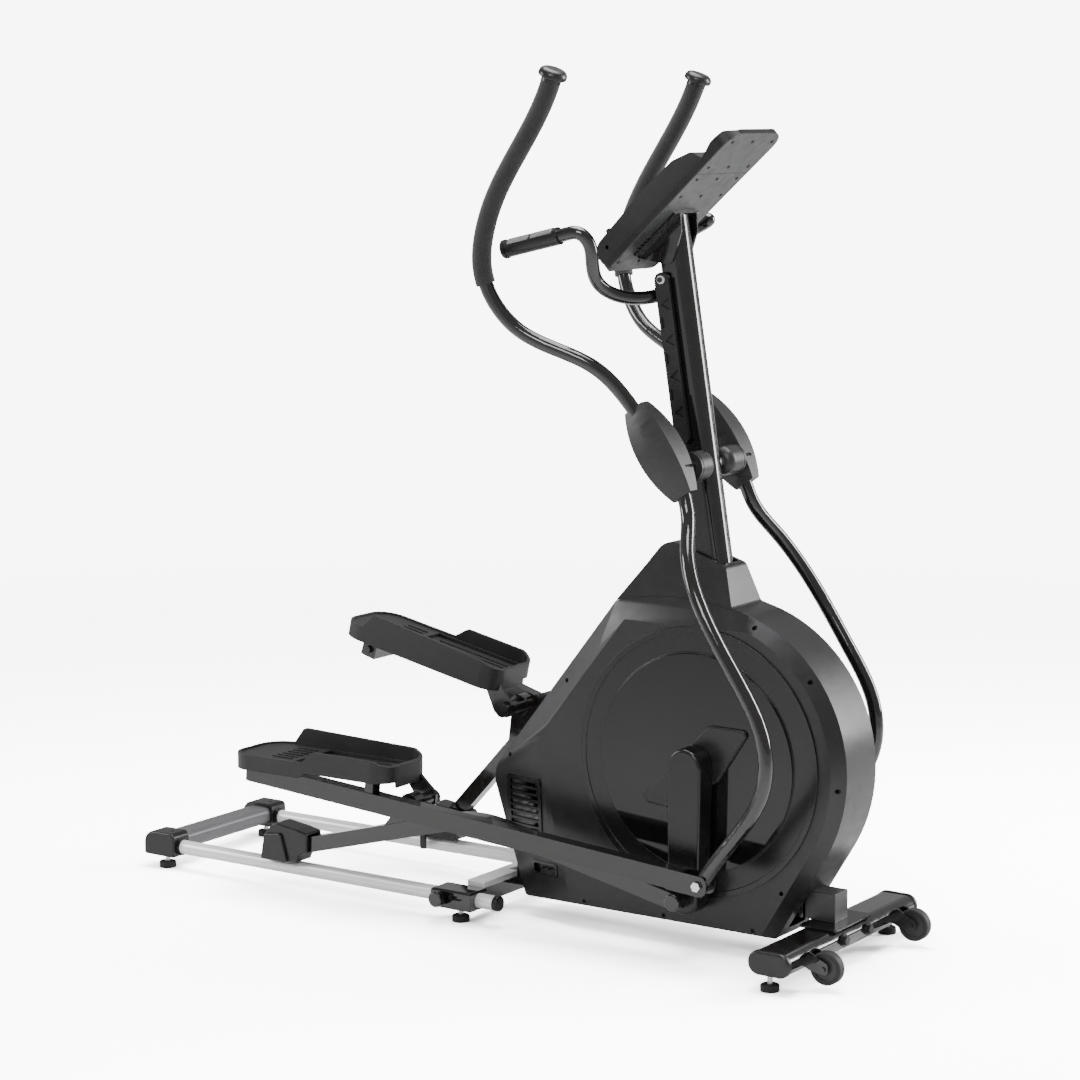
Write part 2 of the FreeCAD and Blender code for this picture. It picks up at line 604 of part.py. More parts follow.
def crank_arm(angle):
    """Steel arm inside its cover; built pointing forward, then turned to its angle."""
    arm = box(-16, CRANK_RADIUS + 14, CRANK_INNER_Y + 12, CRANK_INNER_Y + 26, -14, 14)
    boss = rod_y(0, 0, 20, CRANK_INNER_Y + 12, CRANK_INNER_Y + 26)
    return pitched(fuse([arm, boss]), CRANK_X, CRANK_Z, angle)


def crank_cover(angle):
    """Moulded cover round one crank arm: a long stadium with a rounded outer edge."""
    wide, narrow = 38.0, 33.0
    corners = [(-wide, -wide, wide - 0.6), (CRANK_RADIUS + narrow, -narrow, narrow - 0.6),
               (CRANK_RADIUS + narrow, narrow, narrow - 0.6), (-wide, wide, wide - 0.6)]
    cover = plate_y(corners, CRANK_INNER_Y, CRANK_OUTER_Y)
    rim = [e for e in cover.Edges if e.BoundBox.YMin > CRANK_OUTER_Y - 1]
    cover = cover.makeFillet(7, rim)
    hollow = plate_y(rectangle(-22, CRANK_RADIUS + 20, -20, 20, 6), CRANK_INNER_Y - 1,
                     CRANK_OUTER_Y - 6)
    rib = box(CRANK_RADIUS - 60, CRANK_RADIUS - 40, CRANK_OUTER_Y - 20, CRANK_OUTER_Y - 5,
              -21, 21)
    return pitched(fuse([cover.cut(hollow), rib]), CRANK_X, CRANK_Z, angle)


def crank_pair(maker):
    right = mirrored(maker(RIGHT_CRANK_ANGLE))
    left = maker(LEFT_CRANK_ANGLE)
    return Part.makeCompound([right, left])


def belt_loop(clear):
    """Outline round both pulleys, this far outside their rims."""
    big, small = PULLEY_R + clear, FLY_HUB_R + clear
    dx, dz = FLY_X - CRANK_X, FLY_Z - CRANK_Z
    apart, line = hypot(dx, dz), atan2(dz, dx)
    swing = atan2(sqrt(apart ** 2 - (big - small) ** 2), big - small)
    points = []
    for x, z, r in ((CRANK_X, CRANK_Z, big), (FLY_X, FLY_Z, small)):
        for s in (-1, 1):
            points.append(V(x + r * cos(line + s * swing), 0, z + r * sin(line + s * swing)))
    far_big = V(CRANK_X - big * cos(line), 0, CRANK_Z - big * sin(line))
    far_small = V(FLY_X + small * cos(line), 0, FLY_Z + small * sin(line))
    edges = [Part.Arc(points[0], far_big, points[1]).toShape(),
             Part.makeLine(points[1], points[3]),
             Part.Arc(points[3], far_small, points[2]).toShape(),
             Part.makeLine(points[2], points[0])]
    return Part.Face(Part.Wire(edges))


def drive_belt():
    width = PULLEY_OUT - PULLEY_IN - 2
    belt = belt_loop(GAP + 2.6).cut(belt_loop(GAP)).extrude(V(0, width, 0))
    belt.translate(V(0, PULLEY_IN + 1, 0))
    return belt


def flywheel():
    """Heavy disc with its own axle and the small belt pulley."""
    disc = rod_y(FLY_X, FLY_Z, FLY_R, -11, 11)
    for s in (-1, 1):
        dish = rod_y(FLY_X, FLY_Z, FLY_R - 20, s * 11, s * 7).cut(
            rod_y(FLY_X, FLY_Z, 28, -50, 50))
        disc = disc.cut(dish)
    axle = rod_y(FLY_X, FLY_Z, 7 - SLIP, -34, 42)
    pulley = rod_y(FLY_X, FLY_Z, FLY_HUB_R, PULLEY_IN, PULLEY_OUT)
    neck = rod_y(FLY_X, FLY_Z, 7 - SLIP, 40, PULLEY_IN + 1)
    return fuse([disc, axle, neck, pulley])


def magnet_brake():
    """Curved yoke with magnets close to the flywheel rim, held on the mast post."""
    outer, inner = FLY_R + 16, FLY_R + 6
    ring = rod_y(FLY_X, FLY_Z, outer, -18, 18).cut(rod_y(FLY_X, FLY_Z, inner, -20, 20))
    wedge = [V(FLY_X, -30, FLY_Z), V(FLY_X + 200, -30, FLY_Z + 110),
             V(FLY_X + 60, -30, FLY_Z + 220)]
    wedge = Part.Face(Part.makePolygon(wedge + wedge[:1])).extrude(V(0, 60, 0))
    yoke = ring.common(wedge)
    magnets = []
    for angle in (38, 50, 62):
        x = FLY_X + (FLY_R + 4.4) * cos(radians(angle))
        z = FLY_Z + (FLY_R + 4.4) * sin(radians(angle))
        magnet = box(-1.8, 1.8, -12, 12, -9, 9)
        magnet.rotate(V(0, 0, 0), V(0, 1, 0), -angle)
        magnet.translate(V(x, 0, z))
        magnets.append(magnet)
    return fuse([yoke] + magnets)


# ---- mast, console and fixed handlebar ---------------------------------------------------------
MAST_BASE, MAST_REACH = -70.0, 640.0
STRAP_OFFSET, STRAP_WIDTH, STRAP_INNER_Y, STRAP_OUTER_Y = -22.0, 32.0, 31.0, 39.0
STRAP_LOW_Z, STRAP_HIGH_Z, STRAP_BOLT_Z = 985.0, 1318.0, 1297.0


def mast_section(shrink, low, high):
    half_x, half_y = MAST_DEPTH / 2 - shrink, MAST_WIDTH / 2 - shrink
    corners = [(-half_x, -half_y, 6), (half_x, -half_y, 24 - shrink),
               (half_x, half_y, 24 - shrink), (-half_x, half_y, 6)]
    return along_mast(plate_z(corners, low, high))


def under_console(drop):
    """Space above the console's back plane, lowered by drop."""
    block = box(-300, 700, -300, 300, -drop, 500)
    return pitched(block, CONSOLE_X, CONSOLE_Z, CONSOLE_SLOPE)


def mast():
    """Leaning post, round-fronted, open at the foot and cut to the slope of the console."""
    tube = mast_section(0, MAST_BASE, MAST_REACH + 60)
    tube = tube.cut(mast_section(MAST_WALL, MAST_BASE - 1, MAST_REACH + 80))
    bore = rod_y(SWING_X, SWING_Z, AXLE_R, -100, 100)
    return cut(tube, [under_console(0.5), bore])


def mast_base_cover():
    """Thin fairing over the back and sides of the mast, between the collar and the axle."""
    outer = along_mast(plate_z(rectangle(-29.5, 8, -29.2, 29.2, 4), -30, 152))
    return outer.cut(mast_section(-0.3, -40, 200))


def mast_straps():
    """Truss-ribbed strips along both sides of the mast, bolted at the top."""
    low, high = STRAP_LOW_Z - MAST_FOOT_Z, STRAP_HIGH_Z - MAST_FOOT_Z
    half = STRAP_WIDTH / 2
    strip = plate_y(rectangle(-half, half, low, high, half - 0.5), STRAP_INNER_Y, STRAP_OUTER_Y)
    bays = 7
    bay = (high - low - 90) / bays
    for k in range(bays):
        z0 = low + 45 + k * bay
        lean = half - 5 if k % 2 else 5 - half
        corners = [(-lean, z0 + 6, 1.2), (-lean, z0 + bay - 4, 1.2), (lean * 0.75, z0 + bay / 2, 1.2)]
        strip = strip.cut(plate_y(corners, STRAP_OUTER_Y - 3, STRAP_OUTER_Y + 1))
    spacers = [rod_y(0, z, 9, MAST_WIDTH / 2, STRAP_INNER_Y) for z in (low + 16, high - 21)]
    strap = fuse([strip] + spacers)
    strap.translate(V(STRAP_OFFSET, 0, 0))
    return both_sides(along_mast(strap))


AXLE_END_Y, HUB_IN_Y, HUB_OUT_Y, HUB_R = 127.0, 86.0, 121.0, 15.0
NUT_R, NUT_END_Y = 13.0, 129.0


def pivot_axle():
    """Cross axle of the swing arms, with washers and nuts on its ends."""
    axle = rod_y(SWING_X, SWING_Z, AXLE_R, -AXLE_END_Y, AXLE_END_Y)
    washer = rod_y(SWING_X, SWING_Z, HUB_R - 1, HUB_OUT_Y + GAP, HUB_OUT_Y + GAP + 2)
    nut = hex_head(SWING_X, SWING_Z, HUB_OUT_Y + GAP + 2, NUT_END_Y, NUT_R)
    return fuse([axle, washer, nut, mirrored(washer), mirrored(nut)])


CUP_DOME = 17.5


def pivot_cups():
    """Domed cups round the axle, between the mast and the swing arms."""
    inner_y, outer_y, radius = MAST_WIDTH / 2 + 0.2, HUB_IN_Y - 2, 28.5
    cup = rod_y(SWING_X, SWING_Z, radius, inner_y, outer_y)
    dome = [e for e in cup.Edges if e.BoundBox.YMax < inner_y + 1 and e.Length > 100]
    cup = cup.makeFillet(CUP_DOME, dome)
    groove = rod_y(SWING_X, SWING_Z, radius + 1, outer_y - 8, outer_y - 6).cut(
        rod_y(SWING_X, SWING_Z, radius - 1.5, 0, 200))
    bore = rod_y(SWING_X, SWING_Z, AXLE_R, 0, 200)
    return both_sides(cut(cup, [bore, groove]))


CONSOLE_SCREW_ROWS = (26.0, 214.0, 262.0, 296.0, 366.0)
SEAM_ALONG, HOUSING_TOP = 278.0, 306.0


def console_outline(shrink, low, high):
    wide, narrow = CONSOLE_HALF - shrink, CONSOLE_HALF - 11 - shrink
    return [(low, -narrow, 12), (high, -wide, 40), (high, wide, 40), (low, narrow, 12)]


def console_back_cover():
    """Back of the console: a thin tray that runs up into the tablet rest."""
    slab = plate_z(console_outline(0, 0, CONSOLE_LENGTH), 0, 30)
    face = [(-5, 15, 1), (HOUSING_TOP, 15, 20), (340, 25, 30), (372, 24, 12), (392, 8, 4),
            (392, 60, 1), (-5, 60, 1)]
    slab = slab.cut(plate_y(face, -150, 150))
    seam = box(SEAM_ALONG - 0.6, SEAM_ALONG + 0.6, -150, 150, -1, 0.9)
    rows = [rod_z(along, y, 3.2, -1, 2.5) for along in CONSOLE_SCREW_ROWS for y in (-74, 0, 74)]
    vents = [box(64 + 9 * k, 68 + 9 * k, -52, -28, -1, 4) for k in range(4)]
    hollow = plate_z(console_outline(5, 8, HOUSING_TOP - 14), 4, 20)
    slab = cut(slab, [seam, hollow] + rows + vents)
    return pitched(slab, CONSOLE_X, CONSOLE_Z, CONSOLE_SLOPE)


def console_housing():
    """User side of the console: a deep box with a rounded upper end and a ledge below."""
    side = [(3, 15.2, 2), (HOUSING_TOP - 2, 15.2, 2), (292, 44, 12), (250, 59, 26),
            (168, 62, 60), (22, 53, 16), (3, 40, 10)]
    half = CONSOLE_HALF - 12
    block = plate_y(side, -half, half)
    inner = [(10, 14, 1), (HOUSING_TOP - 12, 14, 1), (284, 40, 10), (248, 53, 24), (168, 56, 58),
             (26, 47, 10), (10, 34, 6)]
    block = block.cut(plate_y(inner, -half + 5, half - 5))
    window = box(64, 212, -74, 74, 40, 90)
    jack = rod_y(32, 34, 4, -half - 1, -half + 6)
    speaker = [box(34 + 7 * k, 37 + 7 * k, -60, -30, 30, 80) for k in range(3)]
    ledge = box(42, 50, -70, 70, 50, 66)
    block = cut(block, [window, jack] + speaker).fuse(ledge)
    return pitched(block, CONSOLE_X, CONSOLE_Z, CONSOLE_SLOPE)


def console_display():
    """Screen and flat membrane keypad that close the window of the housing."""
    panel = box(60, 216, -78, 78, 45, 48.8)
    face = box(64.3, 211.7, -73.7, 73.7, 48.8, 56)
    panel = panel.fuse(face)
    keys = [box(72, 84, y - 9, y + 9, 56, 56.8) for y in (-54, -27, 0, 27, 54)]
    return pitched(fuse([panel] + keys), CONSOLE_X, CONSOLE_Z, CONSOLE_SLOPE)


def console_bracket():
    """Black gusset plates between the top of the mast and the back of the console."""
    cheek = [(40, -2, 4), (176, -2, 4), (150, -34, 16), (92, -66, 16)]
    plate = pitched(plate_y(cheek, 27.5, 32), CONSOLE_X, CONSOLE_Z, CONSOLE_SLOPE)
    flange = pitched(box(48, 170, -46, 46, -4, -0.2), CONSOLE_X, CONSOLE_Z, CONSOLE_SLOPE)
    return cut(fuse([plate, mirrored(plate), flange]), [mast_section(-0.3, 0, 800),
               pitched(box(-50, 400, -100, 100, -0.2, 40), CONSOLE_X, CONSOLE_Z, CONSOLE_SLOPE)])


GRIP_END = V(107, -192, 1352)
GRIP_TOP = V(246, -181, 1385)
PULSE_BEND = [V(276, -166, 1366), V(275, -152, 1330), V(272, -128, 1290), V(292, -90, 1264),
              V(325, -45, 1258), V(338, 0, 1262)]


def pulse_spine(part):
    """Fixed handlebar line: the straight right grip, or the bend across behind the mast."""
    if part == "grip":
        return Part.LineSegment(GRIP_END, GRIP_TOP)
    points = [GRIP_TOP] + PULSE_BEND
    points += [V(p.x, -p.y, p.z) for p in reversed(points[:-1])]
    curve = Part.BSplineCurve()
    ahead = (GRIP_TOP - GRIP_END).normalize()
    curve.interpolate(Points=points, InitialTangent=ahead * 1.0,
                      FinalTangent=V(-ahead.x, ahead.y, -ahead.z) * 1.0)
    return curve


def grip_piece(radius, bore, start, length):
    """Tube along the right grip, from start for length."""
    ahead = (GRIP_TOP - GRIP_END).normalize()
    outer = Part.makeCylinder(radius, length, GRIP_END + ahead * start, ahead)
    if bore:
        outer = outer.cut(Part.makeCylinder(bore, length + 4, GRIP_END + ahead * (start - 2), ahead))
    return outer


def pulse_handlebar():
    bend = sweep(pulse_spine("bend"), PULSE_TUBE_R)
    grip = grip_piece(PULSE_TUBE_R, 0, 0, (GRIP_TOP - GRIP_END).Length)
    bracket = box(330, 372, -16, 16, 1252, 1276)
    bar = fuse([bend, grip, mirrored(grip), bracket])
    return bar.cut(mast_section(-0.3, 0, 800))


def pulse_grips():
    """Rubber sleeves with closed outer ends."""
    sleeve = grip_piece(PULSE_GRIP_R, PULSE_TUBE_R, 0, 118)
    cap = grip_piece(PULSE_GRIP_R + 1.5, 0, -8, 8)
    ahead = (GRIP_TOP - GRIP_END).normalize()
    ends = [e for e in cap.Edges if (e.CenterOfMass - (GRIP_END - ahead * 8)).Length < 1]
    cap = cap.makeFillet(3, ends)
    return both_sides(fuse([sleeve, cap]))


def pulse_pads():
    """Bright sensor plates, two along the top of each grip."""
    pads = []
    for start, length in ((10, 46), (62, 46)):
        shell = grip_piece(PULSE_GRIP_R + 1.0, PULSE_GRIP_R, start, length)
        upper = box(-200, 400, -400, 0, 0, 200)
        upper.rotate(V(0, 0, 0), V(0, 1, 0), -degrees(atan2(GRIP_TOP.z - GRIP_END.z,
                                                            GRIP_TOP.x - GRIP_END.x)))
        upper.translate(V(GRIP_END.x, 0, GRIP_END.z + 7))
        pads.append(shell.common(upper))
    return Part.makeCompound(pads + [mirrored(p) for p in pads])


# ---- swing arms ----------------------------------------------------------------------------------
# centre line of the right arm, from the swing axle: forward, outward and up, arm at rest
SWING_LINE = [(-192, 270, 724), (-268, 268, 594), (-322, 266, 508), (-350, 261, 440),
              (-359, 256, 385), (-354, 250, 345), (-336, 240, 303), (-300, 222, 259),
              (-238, 194, 224), (-163, 160, 186), (-106, 126, 116), (-50, 116, 40),
              (-6, 115, -20), (20, 122, -88), (46, 166, -150), (100, 207, -245),
              (185, 211, -378), (236, 211, -475), (241, 211, -565), (188, 211, -662),
              (109, 211, -771)]
FOAM_TURN = 5          # point of the line where the foam sleeve ends
POD_LENGTH, POD_LEAN, POD_Y = 196.0, 34.1, 116.0
LOW_HUB_R, LOW_HUB_HALF, LOW_PIN_R = 16.0, 13.0, 6.0


def swing_curve():
    return spline([V(x, -y, z) for x, y, z in SWING_LINE])


def swing_tube():
    """Bent steel arm with the hub on the axle and the eye for the pedal bar."""
    curve = swing_curve()
    tube = sweep(curve, SWING_TUBE_R).cut(sweep(curve, SWING_TUBE_R - SWING_WALL))
    tube = tube.cut(rod_y(0, 0, HUB_R + 2, -200, -HUB_OUT_Y))
    hub = rod_y(0, 0, HUB_R, -HUB_OUT_Y, -HUB_IN_Y)
    eye = rod_y(SWING_LOW_X, SWING_LOW_Z, LOW_HUB_R, -PEDAL_BAR_Y - LOW_HUB_HALF,
                -PEDAL_BAR_Y + LOW_HUB_HALF)
    arm = tube.fuse(hub).fuse(eye)
    bore = rod_y(0, 0, AXLE_R + SLIP, -200, 0)
    pin = rod_y(SWING_LOW_X, SWING_LOW_Z, LOW_PIN_R + SLIP, -300, -100)
    return cut(arm, [bore, pin])


def handle_foam():
    """Foam sleeve along the upper part of the arm."""
    curve = swing_curve()
    x, y, z = SWING_LINE[FOAM_TURN]
    last = curve.parameter(V(x, -y, z))
    curve.segment(curve.FirstParameter, last)
    return sweep(curve, FOAM_R).cut(sweep(curve, SWING_TUBE_R + 0.02))


def handle_knob():
    """Mushroom end of the handle."""
    curve = swing_curve()
    start = curve.FirstParameter
    stem = Part.makeCylinder(FOAM_R + 0.4, 8, V(0, 0, 0.1), V(0, 0, 1))
    head = Part.makeCylinder(27.5, 18, V(0, 0, 8), V(0, 0, 1))
    top = [e for e in head.Edges if e.BoundBox.ZMin > 24 and e.Length > 100]
    head = head.makeFillet(12, top)
    low = [e for e in head.Edges if e.BoundBox.ZMax < 8.1 and e.Length > 100]
    knob = stem.fuse(head.makeFillet(4, low)).removeSplitter()
    knob.Placement = FreeCAD.Placement(curve.value(start), FreeCAD.Rotation(
        V(0, 0, 1), curve.tangent(start)[0] * -1))
    return knob


def pivot_pod():
    """Two-piece ridged cover over the hub: an outer and an inner half."""
    stations = [(-0.5, 23, 16), (-0.27, 36, 26), (0, 41, 31), (0.27, 36, 27), (0.5, 23, 16)]
    wires = []
    for along, deep, wide in stations:
        ring = [(-deep, -wide * 0.75), (0, -wide), (deep, -wide * 0.85),
                (deep, wide * 0.7), (0, wide), (-deep, wide * 0.7)]
        points = [V(a, b, along * POD_LENGTH) for a, b in ring]
        wires.append(Part.makePolygon(points + points[:1]))
    pod = Part.makeLoft(wires, True, False)
    pod.rotate(V(0, 0, 0), V(0, 1, 0), -POD_LEAN)
    pod.translate(V(-44, -POD_Y, 30))
    hub_room = rod_y(0, 0, HUB_R + 2, -HUB_OUT_Y - 3, 0)
    nut_room = rod_y(0, 0, NUT_R + 1.5, -NUT_END_Y - 1, 0)
    tube = sweep(swing_curve(), SWING_TUBE_R + 0.02)
    pod = cut(pod, [hub_room, nut_room, tube])
    outer = pod.common(box(-300, 300, -200, -POD_Y - 0.1, -300, 300))
    inner = pod.common(box(-300, 300, -POD_Y + 0.1, 0, -300, 300))
    solids = [s for half in (outer, inner) for s in half.Solids if s.Volume > 500]
    return Part.makeCompound(solids)


# ---- pedal bars and pedals -------------------------------------------------------------------
BAR_HALF, BAR_DEEP, BAR_WALL = 15.0, 19.0, 2.5
BAR_REAR, BAR_FRONT = -384.0, 664.0
PIVOT_TUBE_R, PIVOT_INNER_Y = 14.0, 96.0
PEDAL_TILT = 4.4
PEDAL_REAR, PEDAL_FRONT, PEDAL_OUT, PEDAL_IN = -430.0, -22.0, 232.0, 74.0
PEDAL_LOW, PEDAL_ROOF, PEDAL_FLOOR, PEDAL_TREAD = 34.0, 51.0, 56.0, 63.0


def pedal_bar():
    """Rectangular bar with its clevis, cross pieces under the pedal, hinge tube and bolts."""
    y0, y1 = -PEDAL_BAR_Y - BAR_HALF, -PEDAL_BAR_Y + BAR_HALF
    bar = hollow_box(BAR_REAR, BAR_FRONT, y0, y1, -BAR_DEEP, BAR_DEEP, BAR_WALL)
    plug = box(BAR_REAR - 3, BAR_REAR + 12, y0 + 0.5, y1 - 0.5, -BAR_DEEP + 0.5, BAR_DEEP - 0.5)
    nose = box(BAR_FRONT - 20, BAR_FRONT + 8, y0, y1, -BAR_DEEP, BAR_DEEP)
    cheek = [(BAR_FRONT - 22, -20, 2), (PEDAL_LINK + 20, -20, 16), (PEDAL_LINK + 20, 20, 16),
             (BAR_FRONT - 22, 20, 2)]
    cheeks = [plate_y(cheek, y0 - 3.5, y0), plate_y(cheek, y1, y1 + 3.5)]
    bolt = rod_y(PEDAL_LINK, 0, LOW_PIN_R, y0 - 3.5, y1 + 3.5)
    head = hex_head(PEDAL_LINK, 0, y0 - 10, y0 - 3.5, 10)
    nut = hex_head(PEDAL_LINK, 0, y1 + 3.5, y1 + 6.5, 9)
    hinge = rod_y(0, 0, PIVOT_TUBE_R, y1 - 1, -PIVOT_INNER_Y)
    cap = rod_y(0, 0, PIVOT_TUBE_R + 1.5, -PIVOT_INNER_Y, -PIVOT_INNER_Y + 5)
    hanger = [(-22, -16, 10), (16, -16, 12), (16, 14, 10), (-30, PEDAL_ROOF - 3, 2),
              (-74, PEDAL_ROOF - 6, 2)]
    hanger = plate_y(hanger, -PIVOT_INNER_Y - 14, -PIVOT_INNER_Y - 6)
    cross = box(-372, -336, y1 - 1, -86, -24, 10)
    knob = rod_y(-354, -7, 8, -86, -78)
    posts = [box(-366, -342, -y - 6, -y + 6, 9, PEDAL_ROOF - 5) for y in (110, 176)]
    rests = [box(x - 10, x + 10, y0 + 2, y1 - 2, BAR_DEEP - 1, top)
             for x, top in ((-330, 25), (-70, 45))]
    body = fuse([bar, plug, nose] + cheeks + [bolt, head, nut, hinge, cap, hanger, cross, knob]
                + posts + rests)
    return body.cut(pedal_envelope())


def pedal_plan(shrink, low, high):
    corners = [(PEDAL_REAR + shrink, -PEDAL_OUT + shrink, 52 - shrink),
               (PEDAL_FRONT - shrink, -PEDAL_OUT + shrink, 40 - shrink),
               (PEDAL_FRONT - shrink, -PEDAL_IN - shrink, 40 - shrink),
               (PEDAL_REAR + shrink, -PEDAL_IN - shrink, 52 - shrink)]
    return plate_z(corners, low, high)


def tilted(shape):
    """Pedals sit nose-up on their bars, so that the tread is level at the bottom."""
    turned = shape.copy()
    turned.rotate(V(0, 0, 0), V(0, 1, 0), -PEDAL_TILT)
    return turned


def pedal_envelope():
    """Space of the pedal that its bar keeps out of."""
    plan = pedal_plan(-0.3, PEDAL_LOW, 120).cut(pedal_plan(5.3, PEDAL_LOW - 1, PEDAL_ROOF - 0.1))
    return tilted(plan)


def pedal():
    """Moulded foot tray: ribbed tread, tall inner wall, stepped outer wall, rounded toe rim."""
    tray = pedal_plan(0, PEDAL_LOW, 106)
    middle = -(PEDAL_OUT + PEDAL_IN) / 2
    outer_cut = [(PEDAL_REAR - 5, 66, 1), (-236, 67, 14), (-206, 92, 12), (-60, 92, 30),
                 (PEDAL_FRONT + 5, 76, 1), (PEDAL_FRONT + 5, 130, 1), (PEDAL_REAR - 5, 130, 1)]
    inner_cut = [(PEDAL_REAR - 5, 66, 1), (-372, 67, 10), (-346, 101, 12), (-60, 92, 30),
                 (PEDAL_FRONT + 5, 76, 1), (PEDAL_FRONT + 5, 130, 1), (PEDAL_REAR - 5, 130, 1)]
    tray = tray.cut(plate_y(outer_cut, -PEDAL_OUT - 2, middle))
    tray = tray.cut(plate_y(inner_cut, middle, -PEDAL_IN + 2))
    well = pedal_plan(7, PEDAL_TREAD, 120)
    dip = pedal_plan(14, PEDAL_FLOOR, 120).cut(box(-500, -270, -300, 0, 0, 200))
    under = pedal_plan(5, PEDAL_LOW - 1, PEDAL_ROOF)
    front_gap = plate_y([(-250, PEDAL_LOW - 2, 1), (0, PEDAL_LOW - 2, 1), (0, 46, 1),
                         (-225, 46, 8)], -240, -190)
    tray = cut(tray, [well, dip, under, front_gap])
    ribs = []
    for k in range(6):
        y = middle + (k - 2.5) * 17
        ribs.append(plate_z(rectangle(-338, -286, y - 3, y + 3, 2.9), PEDAL_TREAD - 1,
                            PEDAL_TREAD + 2.5))
        ribs.append(plate_z(rectangle(-250, -60, y - 3, y + 3, 2.9), PEDAL_FLOOR - 1,
                            PEDAL_FLOOR + 2.5))
    return tilted(fuse([tray] + ribs))


# ---- roller bars and rail carriages ----------------------------------------------------------
TUBE_HALF, TUBE_DEEP = 14.0, 16.0
ROLLER_RAIL_Z = RAIL_TOP + ROLLER_RADIUS + GAP
BEND_U, BEND_W = 486.0, 114.0
HINGE_HUB_R, PIN_BARREL_R, ROLLER_PIN_R = 23.0, 17.0, 6.0
PIN_INNER_Y, PIN_OUTER_Y = 148.0, 187.0
FORK_IN, FORK_OUT = 147.0, 185.0


def roller_bar():
    """Bent bar from the rail roller to the crank pin, with the hub of the pedal hinge."""
    y0, y1 = -ROLLER_BAR_Y - TUBE_HALF, -ROLLER_BAR_Y + TUBE_HALF
    rise = atan2(BEND_W, BEND_U)
    fall = atan2(BEND_W, ROLLER_BAR_LENGTH - BEND_U)
    off_x, off_z = TUBE_DEEP * sin(rise), TUBE_DEEP * cos(rise)
    end_x, end_z = TUBE_DEEP * sin(fall), TUBE_DEEP * cos(fall)
    rear_x, rear_z = 36 * cos(rise), 36 * sin(rise)
    outline = [(rear_x + off_x, rear_z - off_z, 2),
               (BEND_U, BEND_W - TUBE_DEEP / cos(rise) * 1.02, 240),
               (ROLLER_BAR_LENGTH - end_x, -end_z, 2),
               (ROLLER_BAR_LENGTH + end_x, end_z, 2),
               (BEND_U, BEND_W + TUBE_DEEP / cos(rise) * 1.02, 280),
               (rear_x - off_x, rear_z + off_z, 2)]
    bar = plate_y(outline, y0, y1)
    hub = rod_y(PEDAL_PIVOT_U, PEDAL_PIVOT_W, HINGE_HUB_R, y0, y1)
    lug_x = BEND_U * 0.5
    lug = [(lug_x, BEND_W * 0.5, 2), (BEND_U - 40, BEND_W - 6, 2),
           (PEDAL_PIVOT_U + 30, PEDAL_PIVOT_W + 4, 4), (PEDAL_PIVOT_U - 21, PEDAL_PIVOT_W + 2, 4)]
    lug = plate_y(lug, y0 + 3, y1 - 3)
    barrel = rod_y(ROLLER_BAR_LENGTH, 0, PIN_BARREL_R, -PIN_OUTER_Y, -PIN_INNER_Y)
    cap_edges = [e for e in barrel.Edges if e.BoundBox.YMax < -PIN_OUTER_Y + 1 and e.Length > 60]
    barrel = barrel.makeFillet(3, cap_edges)
    fork = [(-12, -13, 8), (62, 0, 3), (66, 33, 3), (-6, 15, 10)]
    forks = [plate_y(fork, -FORK_OUT, y0), plate_y(fork, y1, -FORK_IN)]
    pin = rod_y(0, 0, ROLLER_PIN_R, -FORK_OUT, -FORK_IN)
    slot = box(-40, 27, y0, y1, -40, 40).cut(pin)
    bar = bar.cut(rod_y(0, 0, ROLLER_RADIUS + 2, y0, y1))
    bar = fuse([bar, hub, lug, barrel] + forks).cut(slot)
    bore = rod_y(PEDAL_PIVOT_U, PEDAL_PIVOT_W, PIVOT_TUBE_R + SLIP, -300, 0)
    return bar.cut(bore).fuse(pin)


def carriage_cover():
    """Black hood over the rail roller, with a lower cheek outside and a guide peg inside."""
    y_out, y_in = -ROLLER_BAR_Y - 24, -ROLLER_BAR_Y + 24
    outside = [(-54, -22, 4), (-48, 26, 24), (-22, 56, 22), (40, 48, 12), (68, 42, 6),
               (66, 2, 5), (46, -6, 5), (40, -22, 4)]
    hood = plate_y(outside, y_out, y_in)
    roof = [e for e in hood.Edges if e.BoundBox.YMax < y_out + 1 and e.BoundBox.ZMin > 20]
    hood = hood.makeFillet(3, roof)
    inside = plate_y([(-49, -60, 1), (36, -60, 1), (42, -2, 2), (90, 6, 2), (90, 37, 2),
                      (38, 43, 10), (-18, 51, 18), (-43, 24, 20)], y_out + 4, y_in - 4)
    cheek = plate_y([(-52, -24, 4), (-42, 30, 10), (2, 36, 8), (20, -24, 4)], y_out - 6, y_out)
    cheek = cheek.makeFillet(3, [e for e in cheek.Edges if e.BoundBox.YMax < y_out - 5])
    peg = box(-46, -34, y_in, y_in + 7, -48, -8)
    over_rail = rod_x(-ROLLER_BAR_Y, RAIL_TOP - RAIL_R - ROLLER_RAIL_Z, RAIL_R + 2, -200, 200)
    return fuse([cut(hood, [inside, over_rail]), cheek, peg])


def bar_sleeve():
    """Space that the rear end of the roller bar takes in its carriage cover."""
    below, above, rise = -TUBE_DEEP - 1.5, TUBE_DEEP + 2, 36
    return plate_y([(0, below, 2), (150, below + rise, 2), (150, above + rise, 2), (0, above, 2)],
                   -FORK_OUT - 0.5, -FORK_IN + 0.5)


def rail_roller():
    """Soft-tyred wheel that runs on the rail."""
    half = TUBE_HALF - 2
    wheel = rod_y(0, 0, ROLLER_RADIUS, -ROLLER_BAR_Y - half, -ROLLER_BAR_Y + half)
    wheel = wheel.makeFillet(2, [e for e in wheel.Edges if e.Length > 140])
    return wheel.cut(rod_y(0, 0, ROLLER_PIN_R + SLIP, -300, 0))


